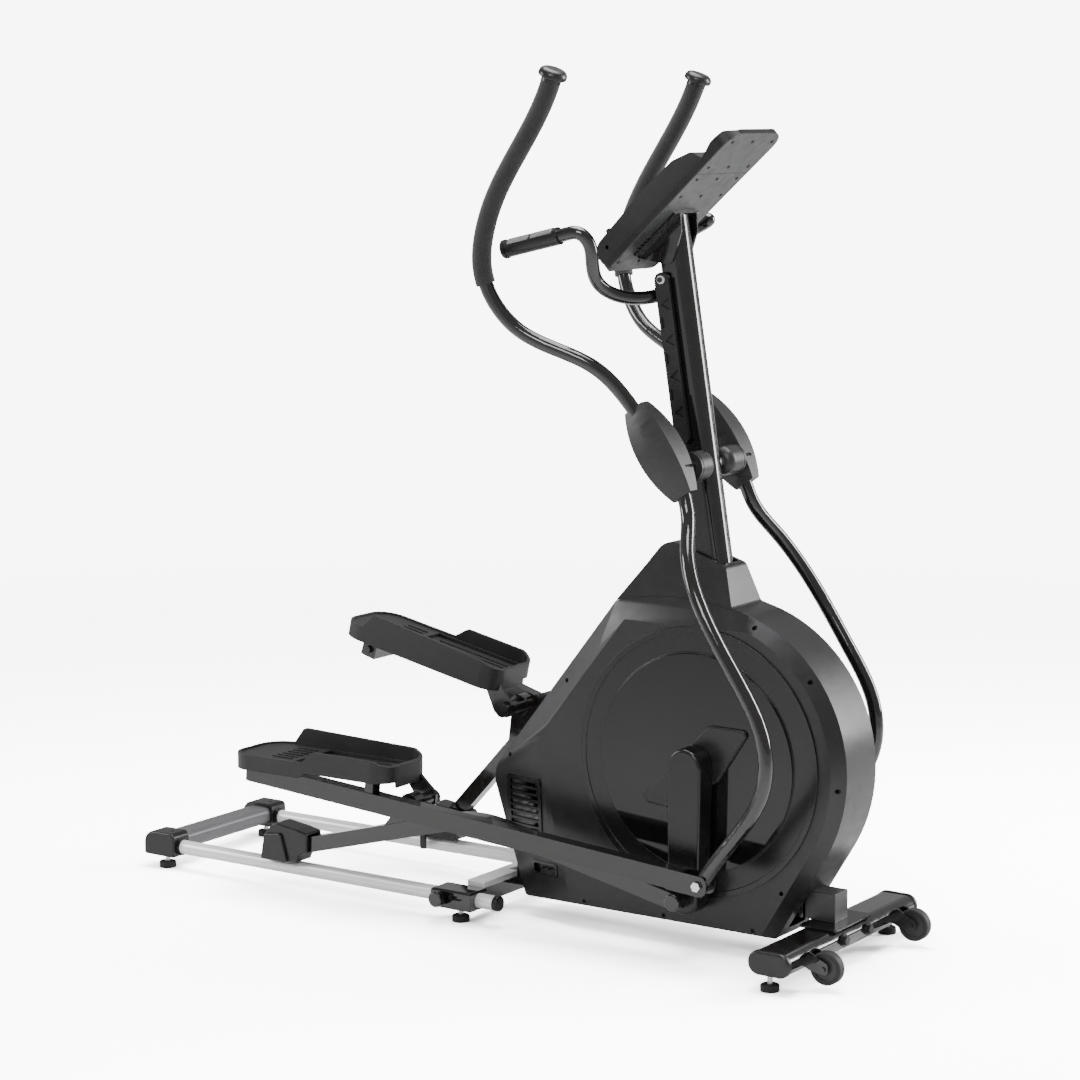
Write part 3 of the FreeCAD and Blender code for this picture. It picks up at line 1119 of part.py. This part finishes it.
# ---- placing and writing -----------------------------------------------------------------------
def place_side(shape, side, pose, kind):
    """Put a piece built for the right side, in its link's own frame, at its rest place."""
    if kind == "swing":
        placed = pitched(shape, SWING_X, SWING_Z, pose["swing"])
    elif kind == "pedal":
        placed = pitched(shape, *pose["hinge"], pose["pedal_pitch"])
    elif kind == "level":
        placed = pitched(shape, *pose["roller"], 0)
    else:
        placed = pitched(shape, *pose["roller"], pose["bar_pitch"])
    return mirrored(placed) if side == "left" else placed


def build():
    nodes = {
        "main_frame": main_frame(),
        "crank_bearings": crank_bearings(),
        "front_post": front_post(),
        "front_stabilizer": front_stabilizer(),
        "stabilizer_end_caps": stabilizer_end_caps(),
        "levelling_feet": levelling_feet(),
        "frame_bolts": frame_bolts(),
        "wheel_brackets": wheel_brackets(),
        "transport_wheel_right": transport_wheel(-1),
        "transport_wheel_left": transport_wheel(1),
        "slide_rails": slide_rails(),
        "rear_cross_tube": rear_cross_tube(),
        "rail_end_caps": rail_end_caps(),
        "rail_clamps": rail_clamps(),
        "rail_cross_plate": rail_cross_plate(),
        "shroud_right": shroud_shell(True),
        "shroud_left": shroud_shell(False),
        "shroud_collar": collar(),
        "shroud_vents": shroud_vents(),
        "power_inlet": power_inlet(),
        "side_discs": side_discs(),
        "crank_boss_covers": crank_boss_covers(),
        "cover_screws": cover_screws(),
        "crank_axle": crank_axle(),
        "drive_pulley": drive_pulley(),
        "crank_arms": crank_pair(crank_arm),
        "crank_covers": crank_pair(crank_cover),
        "drive_belt": drive_belt(),
        "flywheel": flywheel(),
        "magnet_brake": magnet_brake(),
        "mast": mast(),
        "mast_base_cover": mast_base_cover(),
        "mast_straps": mast_straps(),
        "pivot_axle": pivot_axle(),
        "pivot_cups": pivot_cups(),
        "console_bracket": console_bracket(),
        "console_back_cover": console_back_cover(),
        "console_housing": console_housing(),
        "console_display": console_display(),
        "pulse_handlebar": pulse_handlebar(),
        "pulse_grips": pulse_grips(),
        "pulse_pads": pulse_pads(),
    }
    links = [("swing_tube", swing_tube(), "swing"), ("handle_foam", handle_foam(), "swing"),
             ("handle_knob", handle_knob(), "swing"), ("pivot_pod", pivot_pod(), "swing"),
             ("pedal_bar", pedal_bar(), "pedal"), ("pedal", pedal(), "pedal"),
             ("roller_bar", roller_bar(), "roller"),
             ("carriage_cover", carriage_cover(), "level"),
             ("rail_roller", rail_roller(), "roller")]
    for side, angle in (("right", RIGHT_CRANK_ANGLE), ("left", LEFT_CRANK_ANGLE)):
        pose = linkage(angle)
        sleeve = place_side(bar_sleeve(), side, pose, "roller")
        for name, shape, kind in links:
            placed = place_side(shape, side, pose, kind)
            nodes[side + "_" + name] = placed.cut(sleeve) if kind == "level" else placed
    return nodes


if __name__ == "__main__":
    os.makedirs("parts", exist_ok=True)
    for name, shape in build().items():
        shape.exportStep("parts/" + name + ".step")
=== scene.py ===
"""Elliptical trainer: looks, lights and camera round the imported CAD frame."""

import json
import math

import bmesh
import bpy
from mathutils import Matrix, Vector


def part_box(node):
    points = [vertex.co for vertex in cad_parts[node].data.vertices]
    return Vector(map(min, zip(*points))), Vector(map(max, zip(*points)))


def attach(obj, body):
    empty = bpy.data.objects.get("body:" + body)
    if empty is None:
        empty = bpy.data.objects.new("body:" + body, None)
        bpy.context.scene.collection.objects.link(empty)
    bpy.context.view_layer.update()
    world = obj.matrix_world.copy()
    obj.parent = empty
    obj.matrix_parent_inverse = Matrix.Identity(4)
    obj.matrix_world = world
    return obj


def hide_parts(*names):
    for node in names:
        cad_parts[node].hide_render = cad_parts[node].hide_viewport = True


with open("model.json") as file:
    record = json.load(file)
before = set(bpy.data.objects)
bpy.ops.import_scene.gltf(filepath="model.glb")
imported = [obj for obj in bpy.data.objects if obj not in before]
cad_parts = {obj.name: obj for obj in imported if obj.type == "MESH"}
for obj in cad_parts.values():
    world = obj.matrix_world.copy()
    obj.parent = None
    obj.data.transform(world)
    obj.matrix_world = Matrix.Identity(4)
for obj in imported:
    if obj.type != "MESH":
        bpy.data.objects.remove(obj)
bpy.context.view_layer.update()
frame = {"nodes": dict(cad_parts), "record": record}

nodes = frame["nodes"]
BODY_OF = {n: b for b, members in frame["record"]["behaviour"]["bodies"].items() for n in members}


def centre(node):
    low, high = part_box(node)
    return (Vector(low) + Vector(high)) / 2


# ---- material building blocks ------------------------------------------------------------------
class Shader:
    """A Principled material with short calls for the procedural parts that feed it."""

    def __init__(self, name):
        self.material = bpy.data.materials.new(name)
        self.material.use_nodes = True
        self.tree = self.material.node_tree
        self.surface = self.tree.nodes["Principled BSDF"]
        self.place = self.node("ShaderNodeTexCoord").outputs["Object"]

    def node(self, kind, **settings):
        made = self.tree.nodes.new(kind)
        for key, value in settings.items():
            setattr(made, key, value)
        return made

    def link(self, source, target):
        self.tree.links.new(source, target)

    def set(self, **values):
        """Constant inputs, named with underscores for spaces."""
        for key, value in values.items():
            self.surface.inputs[key.replace("_", " ")].default_value = value
        return self

    def noise(self, scale, detail=2.0, stretch=(1, 1, 1)):
        mapping = self.node("ShaderNodeMapping")
        mapping.inputs["Scale"].default_value = stretch
        texture = self.node("ShaderNodeTexNoise")
        texture.inputs["Scale"].default_value = scale
        texture.inputs["Detail"].default_value = detail
        self.link(self.place, mapping.inputs["Vector"])
        self.link(mapping.outputs["Vector"], texture.inputs["Vector"])
        return texture.outputs["Fac"]

    def cells(self, scale, feature="F1"):
        texture = self.node("ShaderNodeTexVoronoi", feature=feature)
        texture.inputs["Scale"].default_value = scale
        self.link(self.place, texture.inputs["Vector"])
        return texture.outputs["Distance"]

    def ramp(self, source, low, high, start=0.35, end=0.65):
        """source from start to end becomes low to high: two numbers or two colours."""
        if isinstance(low, (int, float)):
            made = self.node("ShaderNodeMapRange")
            made.inputs["From Min"].default_value = start
            made.inputs["From Max"].default_value = end
            made.inputs["To Min"].default_value = low
            made.inputs["To Max"].default_value = high
            self.link(source, made.inputs["Value"])
            return made.outputs["Result"]
        made = self.node("ShaderNodeValToRGB")
        made.color_ramp.elements[0].position = start
        made.color_ramp.elements[1].position = end
        made.color_ramp.elements[0].color = (*low, 1)
        made.color_ramp.elements[1].color = (*high, 1)
        self.link(source, made.inputs["Fac"])
        return made.outputs["Color"]

    def math(self, operation, a, b=None):
        made = self.node("ShaderNodeMath", operation=operation)
        for socket, value in zip(made.inputs, (a, b)):
            if value is None:
                continue
            if isinstance(value, (int, float)):
                socket.default_value = value
            else:
                self.link(value, socket)
        return made.outputs[0]

    def axis(self, letter):
        made = self.node("ShaderNodeSeparateXYZ")
        self.link(self.place, made.inputs[0])
        return made.outputs[letter]

    def radius(self, x, z):
        """Distance from the line through (x, z) along Y."""
        dx = self.math("SUBTRACT", self.axis("X"), x)
        dz = self.math("SUBTRACT", self.axis("Z"), z)
        squares = self.math("ADD", self.math("MULTIPLY", dx, dx), self.math("MULTIPLY", dz, dz))
        return self.math("SQRT", squares)

    def step(self, value, edge, soft=0.0004):
        """0 below edge, 1 above it."""
        return self.ramp(value, 0.0, 1.0, edge - soft, edge + soft)

    def below(self, value, edge, soft=0.0004):
        """1 below edge, 0 above it."""
        return self.math("SUBTRACT", 1.0, self.step(value, edge, soft))

    def mix(self, factor, a, b):
        """Colour mix of two colours, sockets or tuples."""
        made = self.node("ShaderNodeMix", data_type="RGBA")
        self.link(factor, made.inputs["Factor"])
        for socket, value in ((made.inputs[6], a), (made.inputs[7], b)):
            if isinstance(value, tuple):
                socket.default_value = (*value, 1)
            else:
                self.link(value, socket)
        return made.outputs[2]

    def blend(self, factor, a, b):
        """Number mix."""
        made = self.node("ShaderNodeMix", data_type="FLOAT")
        self.link(factor, made.inputs[0])
        for socket, value in ((made.inputs[2], a), (made.inputs[3], b)):
            if isinstance(value, (int, float)):
                socket.default_value = value
            else:
                self.link(value, socket)
        return made.outputs[0]

    def colour(self, source):
        self.link(source, self.surface.inputs["Base Color"])
        return self

    def rough(self, source):
        self.link(source, self.surface.inputs["Roughness"])
        return self

    def bump(self, source, strength, distance=0.0004):
        made = self.node("ShaderNodeBump")
        made.inputs["Strength"].default_value = strength
        made.inputs["Distance"].default_value = distance
        self.link(source, made.inputs["Height"])
        self.link(made.outputs["Normal"], self.surface.inputs["Normal"])
        return self


def shade(colour, factor):
    return tuple(c * factor for c in colour)


def moulded(name, colour, low, high, grain=1400.0, depth=0.25, mottle=0.18, **extra):
    """Moulded plastic or rubber: fine spark-eroded grain, slow change of tone and roughness."""
    s = Shader(name)
    slow = s.noise(9.0, 3.0)
    fine = s.noise(grain, 2.0)
    s.colour(s.ramp(slow, shade(colour, 1 - mottle), shade(colour, 1 + mottle)))
    s.rough(s.ramp(s.math("ADD", s.math("MULTIPLY", slow, 0.5), s.math("MULTIPLY", fine, 0.5)),
                   low, high))
    s.bump(fine, depth)
    return s.set(**extra).material


def painted(name, colour, low, high, peel=0.02, **extra):
    """Powder coat: slight orange peel, cloudy roughness."""
    s = Shader(name)
    slow = s.noise(14.0, 3.0)
    s.colour(s.ramp(slow, shade(colour, 0.85), shade(colour, 1.2)))
    s.rough(s.ramp(s.noise(60.0, 4.0), low, high))
    s.bump(s.noise(150.0, 1.0), peel, 0.0003)
    return s.set(**extra).material


def metal(name, colour, low, high, stretch=(1, 1, 1), grain=900.0, depth=0.08):
    """Bare metal with a directional or even grain."""
    s = Shader(name)
    lines = s.noise(grain, 3.0, stretch)
    slow = s.noise(12.0, 2.0)
    s.colour(s.mix(s.ramp(slow, 0.0, 1.0), shade(colour, 0.9), colour))
    s.rough(s.ramp(lines, low, high, 0.3, 0.7))
    s.bump(lines, depth, 0.0002)
    return s.set(Metallic=1.0).material


# ---- the materials -----------------------------------------------------------------------------
DISC = centre("side_discs")
DISC_GLOSS_R = 0.2145                      # the polished middle of the disc ends here
SADDLE_TOP = 0.0843                        # black saddle plate below, grey riser above
WASHER_IN, WASHER_OUT = 0.0388, 0.0431     # distance of the strap washers from the middle plane
STRAP_BOLTS_ABOVE = 1.0                    # only the strap bolts are higher than this
STUD_LOW = 0.0131                          # rubber foot below, stud above
WHEEL_HUB_R = 0.024
BAR_BOLT = {"right": (0.5623, 0.1722), "left": (0.5752, 0.1741)}
BAR_BOLT_R, BAR_BOLT_Y = 0.0122, 0.2297
CONSOLE_COS, CONSOLE_SIN = 0.7373, 0.6756  # slope of the console
CONSOLE_X, CONSOLE_Z = 0.265, 1.308        # a point on its back plane
BACK_FACE = 0.0024                         # thickness of the grey face above that plane
KEY_PITCH, KEY_R, KEYS_REACH = 0.030, 0.0085, 2.4
KEY_ROW, WINDOW_LOW, WINDOW_HIGH = -0.62, -0.30, 0.80     # parts of the display's half length
WINDOW_SIDE = 0.8                          # part of the display's half width
BLACK = (0.0075, 0.0066, 0.0062)
SHELL = (0.027, 0.027, 0.0287)


def shell_material():
    """Shroud: satin graphite with a fine metallic fleck."""
    s = Shader("shell_graphite")
    fleck = s.ramp(s.cells(2600.0), 0.0, 1.0, 0.15, 0.5)
    cloud = s.ramp(s.noise(6.0, 3.0), shade(SHELL, 0.9), shade(SHELL, 1.1))
    s.colour(s.mix(fleck, shade(SHELL, 1.25), cloud))
    s.rough(s.ramp(s.noise(40.0, 3.0), 0.29, 0.36))
    s.set(Metallic=0.45, Coat_Weight=0.15, Coat_Roughness=0.2)
    return s.bump(s.noise(1500.0), 0.10, 0.0002).material


def disc_material():
    """Side disc: satin outer ring, polished centre."""
    s = Shader("disc_gloss")
    reach = s.radius(DISC.x, DISC.z)
    ring = s.step(reach, DISC_GLOSS_R, 0.0003)
    gloss = s.ramp(s.noise(5.0, 3.0), (0.0045, 0.0045, 0.0050), (0.0065, 0.0065, 0.0070))
    s.colour(s.mix(ring, gloss, (0.009, 0.009, 0.0097)))
    s.rough(s.blend(ring, s.ramp(s.noise(25.0, 3.0), 0.045, 0.075), 0.22))
    return s.bump(s.noise(30.0, 2.0), 0.012, 0.0008).material


def post_material():
    """Riser in grey powder coat on a gloss black saddle plate."""
    s = Shader("post_grey_and_black")
    riser = s.step(s.axis("Z"), SADDLE_TOP, 0.0002)
    slow = s.noise(14.0, 3.0)
    grey = s.ramp(slow, (0.034, 0.034, 0.0355), (0.044, 0.044, 0.0455))
    s.colour(s.mix(riser, BLACK, grey))
    s.rough(s.blend(riser, 0.12, s.ramp(slow, 0.30, 0.42)))
    return s.bump(s.noise(420.0), 0.05, 0.0003).material


def bolt_material():
    """Black bolts; the strap bolts stand on white ring washers."""
    s = Shader("bolt_and_washer")
    side = s.math("ABSOLUTE", s.axis("Y"))
    washer = s.math("SUBTRACT", s.step(side, WASHER_IN, 0.0001), s.step(side, WASHER_OUT, 0.0001))
    washer = s.math("MULTIPLY", washer, s.step(s.axis("Z"), STRAP_BOLTS_ABOVE))
    grain = s.noise(600.0)
    s.colour(s.mix(washer, s.ramp(grain, (0.05, 0.05, 0.052), (0.08, 0.08, 0.08)),
                   (0.80, 0.80, 0.80)))
    s.rough(s.ramp(grain, 0.3, 0.45))
    s.link(s.math("SUBTRACT", 1.0, washer), s.surface.inputs["Metallic"])
    return s.bump(grain, 0.05).material


def bar_material(side):
    """Gloss black bar with a bright bolt through its front joint."""
    s = Shader(side + "_bar_black")
    out = s.step(s.math("ABSOLUTE", s.axis("Y")), BAR_BOLT_Y, 0.0001)
    bolt = s.math("MULTIPLY", out, s.below(s.radius(*BAR_BOLT[side]), BAR_BOLT_R, 0.0002))
    s.colour(s.mix(bolt, s.ramp(s.noise(14.0, 3.0), shade(BLACK, 0.85), shade(BLACK, 1.2)),
                   (0.75, 0.75, 0.75)))
    s.link(bolt, s.surface.inputs["Metallic"])
    s.rough(s.ramp(s.noise(60.0, 4.0), 0.12, 0.22))
    s.set(Coat_Weight=0.6, Coat_Roughness=0.08)
    return s.bump(s.noise(150.0, 1.0), 0.02, 0.0003).material


def console_back_material():
    """Console back: mid-grey satin face, dark charcoal edges."""
    s = Shader("console_back")
    rise = s.math("MULTIPLY", s.math("SUBTRACT", s.axis("Z"), CONSOLE_Z), CONSOLE_COS)
    run = s.math("MULTIPLY", s.math("SUBTRACT", s.axis("X"), CONSOLE_X), CONSOLE_SIN)
    edge = s.step(s.math("SUBTRACT", rise, run), BACK_FACE, 0.0003)
    slow = s.noise(7.0, 3.0)
    s.colour(s.mix(edge, s.ramp(slow, (0.044, 0.045, 0.047), (0.054, 0.055, 0.057)),
                   (0.012, 0.012, 0.0128)))
    s.rough(s.ramp(s.noise(50.0, 3.0), 0.34, 0.44))
    s.set(Metallic=0.25)
    return s.bump(s.noise(1600.0), 0.12, 0.0002).material


def feet_material():
    """Rubber pad below, zinc-plated stud above."""
    s = Shader("foot_rubber_and_stud")
    stud = s.step(s.axis("Z"), STUD_LOW, 0.0001)
    grain = s.noise(800.0, 2.0)
    rubber = s.ramp(grain, (0.010, 0.010, 0.010), (0.018, 0.018, 0.018))
    s.colour(s.mix(stud, rubber, (0.62, 0.62, 0.64)))
    s.link(stud, s.surface.inputs["Metallic"])
    s.rough(s.blend(stud, s.ramp(grain, 0.6, 0.8), 0.28))
    return s.bump(grain, 0.2).material


def rail_material(name, tone, along):
    """Satin anodised aluminium, drawn along its length."""
    s = Shader(name)
    lines = s.noise(500.0, 3.0, along)
    s.colour(s.ramp(lines, shade(tone, 0.94), tone, 0.3, 0.7))
    s.rough(s.ramp(lines, 0.26, 0.38, 0.3, 0.7))
    return s.set(Metallic=0.35).bump(lines, 0.08, 0.0002).material


def foam_material():
    """Closed-cell foam: tiny open cells and soft sheen."""
    s = Shader("grip_foam")
    cells = s.cells(1100.0)
    slow = s.noise(30.0, 3.0)
    s.colour(s.ramp(slow, (0.013, 0.013, 0.0133), (0.018, 0.018, 0.0184)))
    s.rough(s.ramp(cells, 0.92, 0.72, 0.1, 0.6))
    s.set(Sheen_Weight=0.25, Sheen_Roughness=0.5)
    return s.bump(cells, 0.07, 0.0003).material


def display_material():
    """Flat membrane panel: a dark screen window above a row of pale keys, no lettering."""
    s = Shader("display_panel")
    low, high = (Vector(corner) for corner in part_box("console_display"))
    middle, half = (low + high) / 2, math.hypot(high.x - low.x, high.z - low.z) / 2
    run = s.math("MULTIPLY", s.math("SUBTRACT", s.axis("X"), middle.x), CONSOLE_COS)
    rise = s.math("MULTIPLY", s.math("SUBTRACT", s.axis("Z"), middle.z), CONSOLE_SIN)
    up = s.math("ADD", run, rise)
    side = s.math("ABSOLUTE", s.axis("Y"))
    across = s.math("PINGPONG", side, KEY_PITCH / 2)
    over = s.math("SUBTRACT", up, KEY_ROW * half)
    off = s.math("SQRT", s.math("ADD", s.math("MULTIPLY", across, across),
                                s.math("MULTIPLY", over, over)))
    key = s.math("MULTIPLY", s.below(off, KEY_R), s.below(side, KEYS_REACH * KEY_PITCH))
    window = s.math("MULTIPLY", s.step(up, WINDOW_LOW * half), s.below(up, WINDOW_HIGH * half))
    window = s.math("MULTIPLY", window, s.below(side, WINDOW_SIDE * high.y))
    slow = s.noise(20.0, 2.0)
    glass = s.ramp(slow, (0.022, 0.030, 0.034), (0.030, 0.040, 0.045))
    s.colour(s.mix(key, s.mix(window, s.ramp(slow, (0.007, 0.007, 0.007), (0.010, 0.010, 0.010)),
                              glass), (0.30, 0.30, 0.30)))
    s.rough(s.blend(window, 0.32, s.ramp(s.noise(200.0, 2.0), 0.06, 0.12)))
    return s.bump(slow, 0.02).material


def wheel_material(node):
    """Transport wheel: hard tyre outside, smoother hub inside."""
    s = Shader(node + "_plastic")
    middle = centre(node)
    hub = s.step(s.radius(middle.x, middle.z), WHEEL_HUB_R, 0.0003)
    grain = s.noise(900.0)
    s.colour(s.mix(hub, (0.035, 0.035, 0.037), (0.016, 0.016, 0.017)))
    s.rough(s.blend(hub, 0.35, s.ramp(grain, 0.5, 0.7)))
    return s.bump(grain, 0.15).material


paint = painted("black_powder_coat", BLACK, 0.08, 0.17, Coat_Weight=0.8, Coat_Roughness=0.05)
shell = shell_material()
graphite = moulded("graphite_plastic", (0.042, 0.042, 0.044), 0.33, 0.43, 1500.0, 0.12, 0.1,
                   Metallic=0.5)
cover_grey = moulded("cover_grey", (0.012, 0.012, 0.0128), 0.26, 0.36, 1500.0, 0.10, 0.1)
satin = moulded("satin_black", (0.006, 0.006, 0.0063), 0.20, 0.29, 1500.0, 0.10)
textured = moulded("pedal_texture", (0.011, 0.011, 0.0115), 0.40, 0.55, 1100.0, 0.3)
rubber = moulded("black_rubber", (0.013, 0.013, 0.013), 0.50, 0.72, 700.0, 0.25)
console_dark = moulded("console_dark", (0.012, 0.012, 0.0128), 0.32, 0.46, 1600.0, 0.2, 0.1)
tyre_blue = moulded("roller_polyurethane", (0.014, 0.013, 0.075), 0.25, 0.38, 500.0, 0.05)
screw_dark = metal("screw_black_oxide", (0.03, 0.03, 0.031), 0.35, 0.5)
steel = metal("zinc_steel", (0.62, 0.62, 0.63), 0.22, 0.36)
chrome = metal("sensor_steel", (0.86, 0.86, 0.86), 0.16, 0.28, (1, 1, 1), 300.0, 0.02)
iron = metal("turned_iron", (0.22, 0.22, 0.23), 0.35, 0.5, (1, 0.05, 1))
bright_rail = rail_material("rail_aluminium", (0.95, 0.95, 0.95), (0.02, 1, 1))
bright_plate = rail_material("plate_aluminium", (0.85, 0.85, 0.85), (1, 0.02, 1))
grey_tube = rail_material("tube_grey", (0.13, 0.13, 0.136), (1, 0.02, 1))

FINISH = {
    "main_frame": paint, "front_stabilizer": paint, "rear_cross_tube": grey_tube,
    "wheel_brackets": paint, "mast": paint, "pulse_handlebar": paint, "console_bracket": paint,
    "crank_bearings": steel, "frame_bolts": bolt_material(), "crank_axle": steel,
    "crank_arms": steel, "pivot_axle": steel, "magnet_brake": steel, "flywheel": iron,
    "cover_screws": screw_dark, "front_post": post_material(), "slide_rails": bright_rail,
    "rail_cross_plate": bright_plate, "stabilizer_end_caps": cover_grey,
    "rail_end_caps": satin, "rail_clamps": paint, "shroud_vents": satin,
    "power_inlet": satin, "crank_covers": satin, "drive_pulley": satin,
    "levelling_feet": feet_material(), "drive_belt": rubber, "pulse_grips": cover_grey,
    "shroud_right": shell, "shroud_left": shell, "shroud_collar": shell,
    "side_discs": disc_material(), "crank_boss_covers": cover_grey, "mast_base_cover": cover_grey,
    "mast_straps": cover_grey, "pivot_cups": graphite,
    "console_back_cover": console_back_material(), "console_housing": console_dark,
    "console_display": display_material(), "pulse_pads": chrome,
}
foam = foam_material()
for side in ("right", "left"):
    FINISH.update({side + "_swing_tube": paint, side + "_pedal_bar": bar_material(side),
                   side + "_roller_bar": paint, side + "_handle_foam": foam,
                   side + "_handle_knob": cover_grey, side + "_pivot_pod": graphite,
                   side + "_pedal": textured, side + "_carriage_cover": cover_grey,
                   side + "_rail_roller": tyre_blue,
                   "transport_wheel_" + side: wheel_material("transport_wheel_" + side)})
for name, material in FINISH.items():
    nodes[name].data.materials.clear()
    nodes[name].data.materials.append(material)


# ---- pieces that refine CAD nodes --------------------------------------------------------------
def softened(node, width, segments=3, angle=32.0):
    """A copy of a CAD node with its sharp edges rounded, shown in its place."""
    source = nodes[node]
    mesh = source.data.copy()
    mesh.name = node + "_soft"
    work = bmesh.new()
    work.from_mesh(mesh)
    bmesh.ops.remove_doubles(work, verts=work.verts, dist=0.00002)
    bmesh.ops.dissolve_limit(work, angle_limit=math.radians(0.6), verts=work.verts,
                             edges=work.edges)
    work.to_mesh(mesh)
    work.free()
    piece = bpy.data.objects.new(node + "_soft", mesh)
    bpy.context.scene.collection.objects.link(piece)
    bevel = piece.modifiers.new("round", "BEVEL")
    bevel.width = width
    bevel.segments = segments
    bevel.limit_method = "ANGLE"
    bevel.angle_limit = math.radians(angle)
    bevel.use_clamp_overlap = True
    for polygon in mesh.polygons:
        polygon.use_smooth = True
    even = piece.modifiers.new("even", "WEIGHTED_NORMAL")
    even.mode = "FACE_AREA"
    even.weight = 100
    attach(piece, BODY_OF[node])
    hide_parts(node)
    return piece


# ---- floor, light and camera -------------------------------------------------------------------
SKY_GLOW, AMBIENT = 8.0, 0.38      # the sky as the camera sees it, and the light it gives
FLOOR_SEEN = 7.0                   # the camera alone sees the lit floor this much lighter
FLOOR_GLOW = 0.8                   # light of the far floor in reflections
FADE_START, FADE_END = 1.5, 5.0    # the floor turns into sky over this distance, in metres
FLOOR_SIZE, FLOOR_DROP = 600, 0.0002


def studio():
    """A pale floor that fades into a white background, both lighter to the camera than in light."""
    bpy.ops.mesh.primitive_plane_add(size=FLOOR_SIZE, location=(0, 0, -FLOOR_DROP))
    floor = bpy.context.object
    floor.name = "studio_floor"
    s = Shader("studio_floor")
    squares = s.math("ADD", s.math("MULTIPLY", s.axis("X"), s.axis("X")),
                     s.math("MULTIPLY", s.axis("Y"), s.axis("Y")))
    far = s.ramp(s.math("SQRT", squares), 0.0, 1.0, FADE_START, FADE_END)
    seen = s.node("ShaderNodeLightPath").outputs["Is Camera Ray"]
    pale = s.ramp(s.noise(0.6, 2.0), 0.79, 0.81)
    lit = s.node("ShaderNodeBsdfDiffuse")
    tone = s.math("MULTIPLY", pale, s.ramp(seen, 1.0, FLOOR_SEEN, 0.0, 1.0))
    s.link(s.math("MULTIPLY", tone, s.math("SUBTRACT", 1.0, far)), lit.inputs["Color"])
    glow = s.node("ShaderNodeEmission")
    s.link(s.math("MULTIPLY", far, s.ramp(seen, FLOOR_GLOW, SKY_GLOW, 0.0, 1.0)),
           glow.inputs["Strength"])
    both = s.node("ShaderNodeAddShader")
    s.link(lit.outputs[0], both.inputs[0])
    s.link(glow.outputs[0], both.inputs[1])
    s.link(both.outputs[0], s.tree.nodes["Material Output"].inputs["Surface"])
    floor.data.materials.append(s.material)
    world = bpy.data.worlds.new("studio")
    bpy.context.scene.world = world
    world.use_nodes = True
    tree = world.node_tree
    sky = tree.nodes["Background"]
    sky.inputs["Color"].default_value = (1, 1, 1, 1)
    strength = tree.nodes.new("ShaderNodeMapRange")
    strength.inputs["To Min"].default_value = AMBIENT
    strength.inputs["To Max"].default_value = SKY_GLOW
    ray = tree.nodes.new("ShaderNodeLightPath")
    tree.links.new(ray.outputs["Is Camera Ray"], strength.inputs["Value"])
    tree.links.new(strength.outputs["Result"], sky.inputs["Strength"])


def softbox(name, place, target, width, height, power):
    data = bpy.data.lights.new(name, "AREA")
    data.shape = "RECTANGLE"
    data.size, data.size_y = width, height
    data.energy = power
    lamp = bpy.data.objects.new(name, data)
    bpy.context.scene.collection.objects.link(lamp)
    lamp.location = place
    lamp.rotation_euler = (Vector(target) - Vector(place)).to_track_quat("-Z", "Y").to_euler()


AZIMUTH, ELEVATION = math.radians(33.97), math.radians(8.28)
EYE = Vector((3.3335, -4.8688, 1.6152))
FOCAL, SENSOR = 98.53, 36.0


def camera():
    data = bpy.data.cameras.new("photo_view")
    data.lens, data.sensor_width = FOCAL, SENSOR
    data.clip_start, data.clip_end = 0.1, 100.0
    eye = bpy.data.objects.new("photo_view", data)
    bpy.context.scene.collection.objects.link(eye)
    ahead = Vector((-math.sin(AZIMUTH) * math.cos(ELEVATION),
                    math.cos(AZIMUTH) * math.cos(ELEVATION), -math.sin(ELEVATION)))
    eye.location = EYE
    eye.rotation_mode = "QUATERNION"
    eye.rotation_quaternion = ahead.to_track_quat("-Z", "Y")
    bpy.context.scene.camera = eye


studio()
softbox("top", (0.2, 0.3, 4.2), (0.1, 0, 0.5), 3.0, 2.4, 230)
softbox("key", (1.6, -3.4, 3.0), (0.1, 0, 0.7), 1.6, 1.2, 55)
softbox("left", (-3.8, -2.2, 2.0), (0, 0, 0.7), 1.2, 2.4, 90)
softbox("right", (3.2, 3.0, 1.9), (0.3, 0, 0.7), 1.4, 2.6, 200)
camera()

SOFT_EDGES = {
    "crank_covers": 0.0015, "rail_end_caps": 0.002, "rail_clamps": 0.0015,
    "console_housing": 0.003, "console_back_cover": 0.0025, "crank_boss_covers": 0.0015,
    "mast_straps": 0.001, "front_post": 0.003, "wheel_brackets": 0.001,
    "rail_cross_plate": 0.0015, "mast_base_cover": 0.001, "shroud_right": 0.003,
    "shroud_left": 0.003, "shroud_collar": 0.003, "side_discs": 0.0015,
}
for side in ("right", "left"):
    SOFT_EDGES.update({side + "_pedal": 0.002, side + "_pedal_bar": 0.002,
                       side + "_roller_bar": 0.002, side + "_carriage_cover": 0.002,
                       side + "_pivot_pod": 0.004})
for name, width in SOFT_EDGES.items():
    softened(name, width)
